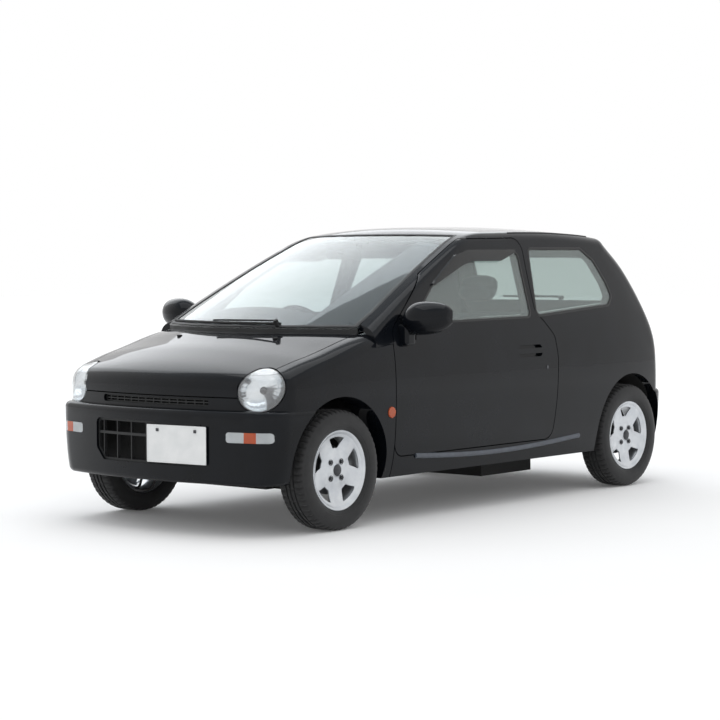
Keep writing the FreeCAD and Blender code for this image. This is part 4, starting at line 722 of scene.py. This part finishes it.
def fill(piece, reach):
    """Fills a pad as cloth under pressure and holds each point near where it was cut."""
    remesh = piece.modifiers.new("even", "REMESH")
    remesh.mode = "VOXEL"
    remesh.voxel_size = VOXEL
    applied(piece)
    before = [vertex.co.copy() for vertex in piece.data.vertices]
    pad = piece.modifiers.new("fill", "CLOTH")
    pad.settings.use_pressure = True
    pad.settings.uniform_pressure_force = PRESSURE
    pad.settings.quality = 4
    pad.settings.effector_weights.gravity = 0
    pad.point_cache.frame_end = FILL_FRAMES
    scene = bpy.context.scene
    for frame_number in range(1, FILL_FRAMES + 1):
        scene.frame_set(frame_number)
    applied(piece)
    for vertex, start in zip(piece.data.vertices, before):
        move = vertex.co - start
        if move.length > reach:
            vertex.co = start + move * (reach / move.length)
    scene.frame_set(1)


def sew(piece, seams, depth=0.006, width=0.007):
    """Presses sewn channels in; a seam is a function giving a point's distance from it."""
    mesh = bmesh.new()
    mesh.from_mesh(piece.data)
    bmesh.ops.subdivide_edges(mesh, edges=[
        edge for edge in mesh.edges
        if any(abs(seam((edge.verts[0].co + edge.verts[1].co) / 2)) < width * 2 for seam in seams)],
        cuts=1, use_grid_fill=True)
    mesh.normal_update()
    moves = []
    for vertex in mesh.verts:
        near = min(abs(seam(vertex.co)) for seam in seams)
        moves.append(vertex.normal * -depth * math.exp(-(near / width) ** 2))
    for vertex, move in zip(mesh.verts, moves):
        vertex.co += move
    mesh.to_mesh(piece.data)
    mesh.free()


def make_pad(name, size, crown, bolster, seams, placements, reach=0.008, shrink=0.012):
    """One pad, filled and sewn once, then set in each of its places; gives the first."""
    cut = new_piece(name, pad_mesh(*[length - shrink for length in size], crown, bolster))
    fill(cut, reach)
    sew(cut, seams)
    smoothed(cut, 1)
    for polygon in cut.data.polygons:
        polygon.use_smooth = True
    made = []
    for tag, matrix in placements:
        piece = bpy.data.objects.new(name + tag, cut.data.copy())
        piece.data.transform(matrix)
        bpy.context.collection.objects.link(piece)
        finish_piece(piece, "chassis", "seat_cloth", cloth)
        made.append(piece)
    bpy.data.objects.remove(cut)
    return made[0]


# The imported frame's x is the source's x less this
SHIFT = 0.0535
SEAT_X, SEAT_Y, SEAT_Z = -0.168 - SHIFT, 0.31, 0.34
BENCH_X = -0.803 - SHIFT
LEAN, BENCH_LEAN = math.radians(-22), math.radians(-20)
# A backrest's pad is made lying face up, and stood up with its face to the front
FACING = Matrix(((0, 0, 1, 0), (0, 1, 0, 0), (-1, 0, 0, 0), (0, 0, 0, 1)))


def lengthwise(offset):
    return lambda p: abs(p.y) - offset


def crosswise(*places):
    return lambda p: min((p.x - place for place in places), key=abs) if p.z > 0 else 1


def leaning(x, y, rise, angle):
    """A backrest's foot, from which its own axes lean back."""
    return Matrix.Translation((x, y, SEAT_Z + rise)) @ Matrix.Rotation(angle, 4, "Y")


def standing(foot, out, up):
    return foot @ Matrix.Translation((out, 0, up)) @ FACING


def make_seats():
    flat, backs, heads = [], [], []
    for tag, _, side in SIDES:
        foot = leaning(SEAT_X + 0.036, side * SEAT_Y, 0.0525, LEAN)
        flat.append(("." + tag, Matrix.Translation((SEAT_X + 0.24, side * SEAT_Y,
                                                    SEAT_Z + 0.068))))
        backs.append(("." + tag, standing(foot, 0.052, 0.28)))
        heads.append(("." + tag, standing(foot, 0.058, 0.675)))
    cushion = make_pad("front_seat_cushion", (0.478, 0.468, 0.136), 0.03, 0.2,
                       [lengthwise(0.148), crosswise(-0.1, 0.02, 0.14)], flat)
    make_pad("front_seat_back", (0.556, 0.448, 0.098), 0.05, 0.35,
             [lengthwise(0.138), crosswise(-0.13, 0.0, 0.13)], backs)
    make_pad("front_headrest", (0.148, 0.236, 0.076), 0.12, 0.0, [crosswise(0.0)], heads, 0.005)
    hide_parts("front_seats")
    bench = make_pad("rear_bench_cushion", (0.454, 0.872, 0.15), 0.04, 0.05,
                     [lengthwise(0.14), crosswise(0.0)],
                     [("", Matrix.Translation((BENCH_X + 0.228, 0, SEAT_Z + 0.076)))])
    make_pad("rear_bench_back", (0.556, 0.872, 0.1), 0.06, 0.05,
             [lengthwise(0.14), crosswise(0.05)],
             [("", standing(leaning(BENCH_X, 0, 0.036, BENCH_LEAN), 0.055, 0.28))])
    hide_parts("rear_bench")


FLOOR_TOP = 0.2235


def make_seat_bases():
    """Runners and uprights under the front seats, and the box under the bench."""
    mesh = bmesh.new()
    for _, _, side in SIDES:
        for offset in (0.17, -0.17):
            y = side * SEAT_Y + offset
            low = Vector((SEAT_X + 0.03, y - 0.016, FLOOR_TOP))
            add_box(mesh, low, low + Vector((0.42, 0.032, 0.03)))
            low = Vector((SEAT_X + 0.06, y - 0.012, FLOOR_TOP + 0.03))
            add_box(mesh, low, low + Vector((0.34, 0.024, 0.095)))
    low = Vector((BENCH_X + 0.04, -0.38, FLOOR_TOP))
    add_box(mesh, low, low + Vector((0.34, 0.76, 0.13)))
    piece = new_piece("seat_bases", mesh)
    edge = piece.modifiers.new("edge", "BEVEL")
    edge.width = 0.004
    edge.segments = 2
    finish_piece(shade(applied(piece)), "chassis", None, under)


make_seats()
make_seat_bases()


# Geometry node trees: bars in a row, and a tube along a line

def new_tree(name, inputs):
    """An empty geometry tree with named inputs and one output, and its input sockets."""
    tree = bpy.data.node_groups.new(name, "GeometryNodeTree")
    for label, kind, value in inputs:
        socket = tree.interface.new_socket(label, in_out="INPUT", socket_type="NodeSocket" + kind)
        if value is not None:
            socket.default_value = value
    tree.interface.new_socket("Geometry", in_out="OUTPUT", socket_type="NodeSocketGeometry")
    return tree, node(tree, "NodeGroupInput").outputs


def close_tree(tree, shape, given):
    """Ends a tree: real mesh, then its material."""
    real = node(tree, "GeometryNodeRealizeInstances", None, Geometry=shape)
    coated = node(tree, "GeometryNodeSetMaterial", None, Geometry=real.outputs[0],
                  Material=given["Material"])
    node(tree, "NodeGroupOutput", None, Geometry=coated.outputs[0])
    return tree


def bar_row_tree():
    """Boxes of one size at an even step, as fins and slats are set."""
    tree, given = new_tree("bar_row", [
        ("Geometry", "Geometry", None), ("Count", "Int", 10), ("Start", "Vector", (0, 0, 0)),
        ("Step", "Vector", (0, 0, 0)), ("Bar", "Vector", (0.01, 0.01, 0.01)),
        ("Material", "Material", None)])
    line = node(tree, "GeometryNodeMeshLine", None, Count=given["Count"],
                Start_Location=given["Start"], Offset=given["Step"])
    bar = node(tree, "GeometryNodeMeshCube", None, Size=given["Bar"])
    row = node(tree, "GeometryNodeInstanceOnPoints", None, Points=line.outputs[0],
               Instance=bar.outputs[0])
    return close_tree(tree, row.outputs[0], given)


def tube_tree():
    """A round tube of a given radius along the lines of the piece."""
    tree, given = new_tree("tube_on_line", [
        ("Geometry", "Geometry", None), ("Radius", "Float", 0.005), ("Sides", "Int", 10),
        ("Material", "Material", None)])
    line = node(tree, "GeometryNodeMeshToCurve", None, Mesh=given["Geometry"])
    section = node(tree, "GeometryNodeCurvePrimitiveCircle", None, Resolution=given["Sides"],
                   Radius=given["Radius"])
    pipe = node(tree, "GeometryNodeCurveToMesh", None, Curve=line.outputs[0],
                Profile_Curve=section.outputs[0], Fill_Caps=True)
    smooth = node(tree, "GeometryNodeSetShadeSmooth", None, Geometry=pipe.outputs[0])
    return close_tree(tree, smooth.outputs[0], given)


def grown(name, tree, body, finish_used, line=(), **values):
    """A piece that a tree makes from a line of points, kept as plain mesh."""
    mesh = bmesh.new()
    places = [mesh.verts.new(place) for place in line]
    for first, second in zip(places, places[1:]):
        mesh.edges.new((first, second))
    piece = linked(name, mesh)
    modifier = piece.modifiers.new("shape", "NODES")
    modifier.node_group = tree
    values["Material"] = finish_used
    for item in tree.interface.items_tree:
        if item.in_out == "INPUT" and item.name in values:
            modifier[item.identifier] = values[item.name]
    finish_piece(applied(piece), body, None, finish_used)


bars, tube = bar_row_tree(), tube_tree()


def rod(name, line, radius, finish_used, body="chassis", sides=10):
    """A round bar along a line."""
    grown(name, tube, body, finish_used, line, Radius=radius, Sides=sides)


def bent(corners, radius, parts=6):
    """A line through the corners, each of them rounded."""
    places = [Vector(corner) for corner in corners]
    line = [places[0]]
    for before, here, after in zip(places, places[1:], places[2:]):
        back, ahead = before - here, after - here
        reach = min(radius, back.length * 0.49, ahead.length * 0.49)
        start, end = here + back.normalized() * reach, here + ahead.normalized() * reach
        for k in range(parts + 1):
            t = k / parts
            line.append(start.lerp(here, t).lerp(here.lerp(end, t), t))
    return line + [places[-1]]


# Where things touch: rays against the frame's own faces

FAR = 2.5
trees = {}


def struck(name, origin, direction):
    """Where a ray first meets a CAD node, and the way its surface faces there."""
    if name not in trees:
        data = bpy.data.objects[name].data
        trees[name] = BVHTree.FromPolygons([v.co for v in data.vertices],
                                           [tuple(p.vertices) for p in data.polygons])
    return trees[name].ray_cast(Vector(origin), Vector(direction))[:2]


def islands(name, slices=14):
    """The centre line of each loose part of a node, in slices across the car."""
    mesh = cad_mesh(name)
    left_over = dict.fromkeys(mesh.verts)
    lines = []
    while left_over:
        stack = [next(iter(left_over))]
        left_over.pop(stack[0])
        part = list(stack)
        while stack:
            for edge in stack.pop().link_edges:
                for vertex in edge.verts:
                    if vertex in left_over:
                        left_over.pop(vertex)
                        stack.append(vertex)
                        part.append(vertex)
        low, high = min(v.co.y for v in part), max(v.co.y for v in part)
        found = {}
        for vertex in part:
            found.setdefault(round((vertex.co.y - low) / (high - low) * slices),
                             []).append(vertex.co)
        lines.append([sum(places, Vector()) / len(places) for _, places in sorted(found.items())])
    mesh.free()
    return sorted(lines, key=lambda line: -line[0].y)


# Number plates, lamps and mirrors

PLATE_Y, PLATE_Z, PLATE_RIM, PLATE_BOLT_Y = 0.165, 0.0825, 0.005, 0.105


def make_plate(name, centre, yaw, tilt, body):
    """A pressed plate with its raised rim, and two bolts with flat heads."""
    place = (Matrix.Translation(centre) @ Matrix.Rotation(yaw, 4, "Z")
             @ Matrix.Rotation(tilt, 4, "Y"))
    y, z = PLATE_Y, PLATE_Z
    mesh = bmesh.new()
    round_box(mesh, (0, -y, -z), (0.0012, y, z), 0.0004, place, 1)
    for low, high in (((-y, z - PLATE_RIM), (y, z)), ((-y, -z), (y, PLATE_RIM - z)),
                      ((-y, -z), (PLATE_RIM - y, z)), ((y - PLATE_RIM, -z), (y, z))):
        round_box(mesh, (0.001, *low), (0.003, *high), 0.0008, place, 1)
    placed(name, mesh, body, plate_white)
    heads = bmesh.new()
    for at in (-PLATE_BOLT_Y, PLATE_BOLT_Y):
        round_box(heads, (0.001, at - 0.007, 0.053), (0.006, at + 0.007, 0.067), 0.002, place)
    placed(name + "_bolts", heads, body, dark_metal)


def sliced(piece_name, name, cuts, slot, finish_used):
    """A lamp's faces, cut through at the given planes, ready for their colours."""
    mesh = cad_mesh(name)
    for place, normal in cuts:
        bmesh.ops.bisect_plane(mesh, geom=mesh.verts[:] + mesh.edges[:] + mesh.faces[:],
                               plane_co=place, plane_no=normal)
    return finish_piece(shade(linked(piece_name, mesh)), "chassis", slot, finish_used, name)


AMBER_Y, MARKER_X, AMBER_Z = (0.531, 0.587), 1.0, (0.688, 0.735)


def make_signals():
    """Front lamps with an amber part between frosted ones, and amber lamps in the sides."""
    piece = sliced("signal_lenses", "signal_lamps",
                   [((0, side * y, 0), LEFT) for y in AMBER_Y for side in (1, -1)],
                   "lamp_amber", pale_lens)
    second_finish(piece, amber_lens, lambda face: AMBER_Y[0] < abs(face.center.y) < AMBER_Y[1]
                  or face.center.x < MARKER_X)


def make_tail_lenses():
    """Red over amber over clear, parted by two level joints."""
    piece = sliced("tail_lenses", "tail_lamps", [((0, 0, z), UP) for z in AMBER_Z], "lamp_red",
                   red_lens)
    second_finish(piece, amber_lens, lambda face: AMBER_Z[0] < face.center.z < AMBER_Z[1])
    second_finish(piece, pale_lens, lambda face: face.center.z < AMBER_Z[0])


def make_mirror_glass(name, side):
    """The flat glass in the mirror's back, a little smaller than its housing."""
    patch = outer_patch(name, side, -AHEAD, 0.97)
    middle = sum((v.co for v in patch.verts), Vector()) / len(patch.verts)
    for vertex in patch.verts:
        vertex.co = middle + (vertex.co - middle) * 0.9 - AHEAD * 0.0008
    finish_piece(new_piece(name + "_glass", patch), body_of_node[name], None, mirror_metal)


make_plate("front_plate", Vector((1.6436, 0.1924, 0.392)), 0.0922, 0.0, "chassis")
spot, facing = struck("tailgate", (-FAR, 0, 0.68), AHEAD)
rear_tilt = math.asin(-facing.z) if facing.x < 0 else 0.0
make_plate("rear_plate", spot + facing * 0.006, math.pi, rear_tilt, "tailgate")
make_signals()
make_tail_lenses()
for _, hand, side in SIDES:
    make_mirror_glass("mirror_" + hand, side)


# Seals round the sloping panes, wipers, mouldings, washer jets and door visors

SCREEN_OUT, TAIL_OUT = Vector((0.4, 0, 0.917)), Vector((-0.9, 0, 0.43))
# How far the screen seal's foot is set up the glass, below which height, and over what fade
FOOT_SHIFT, FOOT_TOP, FOOT_FADE = 0.013, 0.95, 0.05
VISOR_WIDTH, VISOR_WALL, VISOR_POINTS = 0.05, 0.0025, 200


def onto_the_glass(place):
    """The seal's foot lies further up the glass, where the opened bonnet's corners come down."""
    return -FOOT_SHIFT * min(1.0, max(0.0, (FOOT_TOP - place.z) / FOOT_FADE))


def make_wiper(tag, line, body, root, out):
    """A blade's rubber and spine along the frame's bar, with a sprung arm to its pivot."""
    middle = line[len(line) // 2]
    rod("wiper_spine" + tag, [p + out * 0.003 for p in line], 0.0035, trim, body, 8)
    rod("wiper_arm" + tag, bent([root, root + out * 0.02, middle + out * 0.012], 0.03), 0.0045,
        trim, body, 8)
    rod("wiper_pivot" + tag, [root - out * 0.004, root + out * 0.024], 0.011, trim, body, 16)


def drip_line(side, parts=24):
    """Points along the roof's side, just inside its edge."""
    hits = [struck("roof_panel", (-1.06 + 1.2 * k / parts, side * (0.505 + 0.012 * k / parts), 2),
                   -UP)[0] for k in range(parts + 1)]
    return [place for place in hits if place]


def sill_line(side, hand, parts=40):
    """Points along the foot of a side, sagging a little in the middle."""
    hits = [struck("side_" + hand,
                   (0.66 - 1.4 * k / parts, side * 2, 0.298 - 0.03 * math.sin(math.pi * k / parts)),
                   LEFT * -side)[0] for k in range(parts + 1)]
    return [place - LEFT * side * 0.004 for place in hits if place]


make_seal("windscreen_seal", "windscreen", "chassis", [(0, Vector((0.4, 0, 0.9)))], 0.02,
          onto_the_glass)
make_seal("tailgate_seal", "tailgate_glass", "tailgate", [(0, Vector((-0.9, 0, 0.4)))], 0.018)
for tag, line in zip((".near", ".far"), islands("wipers")):
    root = max(line, key=lambda p: p.y) + Vector((0.02, 0.01, -0.004))
    make_wiper(tag, line, "chassis", root, SCREEN_OUT)
rear_line = islands("rear_wiper")[0]
make_wiper(".rear", rear_line, "tailgate", rear_line[-1] + Vector((0.006, 0.02, -0.014)), TAIL_OUT)
for tag, hand, side in SIDES:
    rod("drip_moulding." + tag, drip_line(side), 0.0045, seal_rubber, sides=8)
    # The sill moulding is coloured light blue-grey as a painted highlight along the foot of the
    # side
    rod("sill_moulding." + tag, sill_line(side, hand), 0.013, sill_painted_highlight, sides=16)
    place, _ = struck("bonnet", (1.12, side * 0.3, 2), -UP)
    plain_piece("washer_jet." + tag, [(place + Vector((-0.012, -0.009, -0.003)),
                                       place + Vector((0.012, 0.009, 0.007)))], trim, "bonnet",
                0.004)


def make_visor(hand, side):
    """The smoked strip that keeps rain off, along the pane's sloping and upper edges."""
    pane = "door_glass_" + hand
    patch = outer_patch(pane, side, LEFT * side)
    loop = evenly(border_loop(patch), VISOR_POINTS)
    patch.free()
    centre = sum(loop, Vector()) / len(loop)
    rear = min(place.x for place in loop) + 0.03
    line = sorted((p for p in loop if p.x > rear and p.z > centre.z + 0.03), key=lambda p: -p.x)
    out = Vector((0, side, 0.28)).normalized()
    last = len(line) - 1
    mesh = bmesh.new()
    rows = []
    for k, place in enumerate(line):
        ahead = (line[min(k + 2, last)] - line[max(k - 2, 0)]).normalized()
        down = ahead.cross(out)
        down = down if down.dot(centre - place) > 0 else -down
        wide = VISOR_WIDTH * min(1, (k + 2) / 24, (last + 2 - k) / 14)
        rows.append([mesh.verts.new(place + down * below + out * clear) for below, clear in (
            (-0.012, 0.004), (-0.008, 0.012), (wide * 0.4, 0.017), (wide, 0.016))])
    bridge(mesh, rows, around=False)
    piece = shade(applied(walled(new_piece("door_visor_" + hand, mesh), VISOR_WALL)))
    finish_piece(piece, body_of_node[pane], None, smoked)


for _, hand, side in SIDES:
    make_visor(hand, side)


# Behind the grille: the radiator's core and tanks, and the towing eye below

FINS, TUBES = 90, 24


def make_radiator():
    low, high = [Vector(corner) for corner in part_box("radiator")]
    wide, tall = high.y - low.y, high.z - low.z
    tanks = bmesh.new()
    round_box(tanks, low, (high.x, high.y, low.z + 0.03), 0.006)
    round_box(tanks, (low.x, low.y, high.z - 0.035), high, 0.006)
    placed("radiator_tanks", tanks, "chassis", under, slot="underbody", nodes=["radiator"])
    grown("radiator_fins", bars, "chassis", fin_metal, Count=FINS,
          Start=(high.x - 0.008, low.y + 0.004, (low.z + high.z) / 2),
          Step=(0, (wide - 0.008) / (FINS - 1), 0), Bar=(0.012, 0.0008, tall - 0.06))
    grown("radiator_tubes", bars, "chassis", fin_metal, Count=TUBES,
          Start=((low.x + high.x) / 2, 0, low.z + 0.04), Step=(0, 0, (tall - 0.08) / (TUBES - 1)),
          Bar=(0.016, wide - 0.006, 0.004))
    plain_piece("radiator_support", [((1.425, side * 0.205, 0.25), (1.437, side * 0.5, 0.6))
                                     for side in (1, -1)], under, edge=0.004)


make_radiator()
rod("towing_eye", bent([(1.445, -0.13, 0.24), (1.47, -0.13, 0.165), (1.52, -0.145, 0.158),
                        (1.52, -0.2, 0.158), (1.47, -0.215, 0.165), (1.445, -0.215, 0.24)],
                       0.025), 0.006, under, sides=12)


# Cabin: instruments, vents, controls, door linings and the inner mirror

# The dashboard's face, and the steering wheel's centre moved forward along its column
FACE_X = 0.5598
STEER_CENTRE = Vector((0.2261, -0.31, 0.7861)) + Vector((-0.906, 0, 0.423)) * 0.012
STEER_RAKE = math.radians(25)


def make_dashboard():
    """Instruments, centre stack with its radio and knobs, and four vents."""
    def on_face(name, finish_used, edge, *boxes):
        plain_piece(name, [((FACE_X + low[0], *low[1:]), (FACE_X + high[0], *high[1:]))
                           for low, high in boxes], finish_used, edge=edge)

    on_face("instrument_hood", interior, 0.02, ((0.01, -0.46, 0.84), (0.17, -0.16, 0.9)))
    on_face("instrument_dials", trim, 0.008, ((0.004, -0.43, 0.79), (0.02, -0.19, 0.85)))
    on_face("centre_stack", interior, 0.008, ((-0.006, -0.1, 0.60), (0.08, 0.1, 0.77)))
    on_face("radio_and_knobs", trim, 0.004, ((-0.01, -0.085, 0.7), (0.02, 0.085, 0.745)),
            *[((-0.014, y - 0.015, 0.63), (0.02, y + 0.015, 0.66)) for y in (-0.06, 0, 0.06)])
    for k, y in enumerate((-0.53, -0.07, 0.07, 0.53)):
        grown("vent_slats.%d" % k, bars, "chassis", trim, Count=5, Start=(FACE_X + 0.004, y, 0.79),
              Step=(0, 0, 0.009), Bar=(0.02, 0.09, 0.003))


def make_controls():
    """Gear lever, hand brake, pedals and the inner mirror."""
    rod("gear_lever", bent([(0.34, -0.02, 0.24), (0.34, -0.02, 0.42), (0.31, -0.02, 0.5)], 0.05),
        0.006, dark_metal, sides=12)
    plain_piece("gear_knob", [((0.288, -0.044, 0.485), (0.332, 0.004, 0.54))], trim, edge=0.018)
    plain_piece("gear_console", [((0.2, -0.075, FLOOR_TOP), (0.52, 0.035, 0.33))], interior,
                edge=0.015)
    rod("hand_brake", bent([(-0.02, 0.04, 0.24), (-0.04, 0.04, 0.32), (0.14, 0.04, 0.38)], 0.05),
        0.011, trim, sides=12)
    for k, y in enumerate((-0.4, -0.3, -0.2)):
        rod("pedal_arm.%d" % k, bent([(0.72, y, 0.5), (0.66, y, 0.36), (0.69, y, 0.3)], 0.05),
            0.005, dark_metal, sides=8)
        plain_piece("pedal_pad.%d" % k, [((0.684, y - 0.025, 0.275), (0.696, y + 0.025, 0.33))],
                    rubber, edge=0.004)
    foot = struck("windscreen", (0.0, 0, 1.19), (1, 0, 0.08))[0] - AHEAD * 0.004
    low = foot + Vector((-0.06, -0.11, -0.03))
    plain_piece("inner_mirror", [(low, low + Vector((0.022, 0.22, 0.05)))], trim, edge=0.01)
    rod("mirror_stem", [foot + Vector((-0.045, 0, -0.005)), foot], 0.006, trim)


def make_side_fittings(tag, hand, side):
    """Arm rest and window winder on the door, mud guard behind the wheel, and sun visor."""
    door = "door_" + hand
    plain_piece("arm_rest." + tag, [((-0.34, 0.59 * side, 0.565), (0.22, 0.652 * side, 0.615))],
                interior, door, 0.016)
    rod("window_winder." + tag, bent([(0.3, 0.652 * side, 0.56), (0.3, 0.625 * side, 0.56),
                                      (0.22, 0.62 * side, 0.53), (0.22, 0.59 * side, 0.53)], 0.015),
        0.006, dark_metal, door)
    plain_piece("mud_guard." + tag, [((0.7915, 0.575 * side, 0.238), (0.7965, 0.668 * side, 0.36))],
                rubber, edge=0.0015)
    low = struck("roof_panel", (0.03, side * 0.27, 1.0), UP)[0] + Vector((-0.06, -0.17, -0.03))
    plain_piece("sun_visor." + tag, [(low, low + Vector((0.13, 0.34, 0.012)))], lining, edge=0.005)


def make_tail_details():
    """Reflectors in the bumper, the lamp above the plate, and the locks."""
    boxes = bmesh.new()
    for _, _, side in SIDES:
        place, _ = struck("rear_bumper", (-FAR, side * 0.5, 0.36), AHEAD)
        turn = Matrix.Translation(place) @ Matrix.Rotation(side * 0.2, 4, "Z")
        round_box(boxes, (-0.004, -0.045, -0.016), (0.01, 0.045, 0.016), 0.003, turn)
    placed("rear_reflectors", boxes, "chassis", red_lens)
    place, _ = struck("tailgate", (-FAR, 0, 0.79), AHEAD)
    plain_piece("plate_lamp", [(place + Vector((-0.016, -0.12, -0.012)),
                                place + Vector((0.02, 0.12, 0.012)))], trim, "tailgate", 0.005)
    place, _ = struck("tailgate", (-FAR, 0, 0.585), AHEAD)
    rod("tailgate_lock", [place + AHEAD * 0.004, place - AHEAD * 0.004], 0.011, dark_metal,
        "tailgate", 24)
    for tag, hand, side in SIDES:
        place, _ = struck("door_" + hand, (-0.44, side * 2, 0.655), LEFT * -side)
        rod("door_lock." + tag, [place - LEFT * side * 0.004, place + LEFT * side * 0.002], 0.009,
            dark_metal, "door_" + hand, 24)


make_dashboard()
make_controls()
for tag, hand, side in SIDES:
    make_side_fittings(tag, hand, side)
plain_piece("horn_pad", [((-0.02, -0.06, -0.045), (0.02, 0.06, 0.045))], trim, "steering_wheel",
            0.014, Matrix.Translation(STEER_CENTRE) @ Matrix.Rotation(STEER_RAKE, 4, "Y"))
make_tail_details()


# The studio: pale floor, sky-like dome, soft lamps and the photograph's camera

def seen_directly(tree):
    """1 where a camera, mirror or glass ray looks, 0 for the light that falls on things."""
    path = node(tree, "ShaderNodeLightPath").outputs
    first = node(tree, "ShaderNodeMath", {"operation": "MAXIMUM"}, n0=path["Is Camera Ray"],
                 n1=path["Is Glossy Ray"])
    return node(tree, "ShaderNodeMath", {"operation": "MAXIMUM"}, n0=first.outputs[0],
                n1=path["Is Transmission Ray"]).outputs[0]


def studio_floor():
    """A matt pale floor that keeps shadows, lifted to white where it is looked at."""
    bpy.ops.mesh.primitive_plane_add(size=90)
    floor = bpy.context.object
    floor.name = "floor"
    made, tree, shader = finish("pale_studio_floor", Roughness=0.95, Specular_IOR_Level=0.1,
                                Emission_Color="#ffffff")
    where = node(tree, "ShaderNodeTexCoord").outputs["Object"]
    patch = node(tree, NOISE, None, Vector=where, Scale=1.1)
    shades = node(tree, "ShaderNodeMix", COLOURS, n0=patch.outputs[0], n6="#f2f2f2", n7="#f6f6f6")
    tree.links.new(shades.outputs[2], shader.inputs["Base Color"])
    apart = node(tree, "ShaderNodeVectorMath", {"operation": "LENGTH"}, n0=where)
    far = node(tree, "ShaderNodeMapRange", None, Value=apart.outputs["Value"], From_Min=3.0,
               From_Max=10.0, To_Min=0.06, To_Max=0.35)
    lift = node(tree, "ShaderNodeMath", {"operation": "MULTIPLY"}, n0=seen_directly(tree),
                n1=far.outputs[0])
    tree.links.new(lift.outputs[0], shader.inputs["Emission Strength"])
    floor.data.materials.append(made)


def studio_world():
    """White round the horizon, falling to a soft blue-grey overhead, as an open sky is."""
    world = bpy.data.worlds.new("studio_sky")
    bpy.context.scene.world = world
    world.use_nodes = True
    tree = world.node_tree
    tree.nodes.clear()
    where = node(tree, "ShaderNodeTexCoord")
    parts = node(tree, "ShaderNodeSeparateXYZ", None, Vector=where.outputs["Generated"])
    fall = node(tree, "ShaderNodeMapRange", None, Value=parts.outputs[2], From_Min=0.6,
                From_Max=0.95)
    sky = node(tree, "ShaderNodeMix", COLOURS, n0=fall.outputs[0], n6="#ffffff", n7="#c3cdd6")
    seen = node(tree, "ShaderNodeBackground", None, Color=sky.outputs[2], Strength=1.0)
    light = node(tree, "ShaderNodeBackground", None, Color="#f8f9fa", Strength=0.86)
    mixed = node(tree, "ShaderNodeMixShader", None, n0=seen_directly(tree), n1=light.outputs[0],
                 n2=seen.outputs[0])
    node(tree, "ShaderNodeOutputWorld", None, Surface=mixed.outputs[0])


def lamp(name, place, target, size, watts, colour):
    data = bpy.data.lights.new(name, "AREA")
    data.energy = watts
    data.color = linear(colour)[:3]
    data.shape = "RECTANGLE"
    data.size, data.size_y = size
    made = bpy.data.objects.new(name, data)
    made.location = place
    made.rotation_euler = (Vector(target) - Vector(place)).to_track_quat("-Z", "Y").to_euler()
    bpy.context.collection.objects.link(made)


CAMERA_PLACE = (8.1715, 6.6678, 1.195)
CAMERA_YAW, CAMERA_PITCH, CAMERA_ROLL = -2.447, -0.048, -0.004
CAMERA_LENS, CAMERA_SENSOR = 106.07, 36


def photo_camera():
    level = math.cos(CAMERA_PITCH)
    look = Vector((level * math.cos(CAMERA_YAW), level * math.sin(CAMERA_YAW),
                   math.sin(CAMERA_PITCH)))
    right = look.cross(UP).normalized()
    above = right.cross(look)
    across = right * math.cos(CAMERA_ROLL) + above * math.sin(CAMERA_ROLL)
    upward = above * math.cos(CAMERA_ROLL) - right * math.sin(CAMERA_ROLL)
    data = bpy.data.cameras.new("camera")
    data.lens = CAMERA_LENS
    data.sensor_width = CAMERA_SENSOR
    camera = bpy.data.objects.new("camera", data)
    turn = Matrix((across, upward, -look)).transposed().to_4x4()
    camera.matrix_world = Matrix.Translation(CAMERA_PLACE) @ turn
    bpy.context.collection.objects.link(camera)
    bpy.context.scene.camera = camera


studio_floor()
studio_world()
lamp("soft_top", (0.5, 0.5, 5.5), (0, 0, 0), (6, 4), 90, "#ffffff")
lamp("soft_back", (-5.0, -7.5, 7.5), (0, 0, 0.6), (13, 8), 430, "#ecf1f6")
photo_camera()
bpy.context.scene.view_settings.view_transform = "Standard"
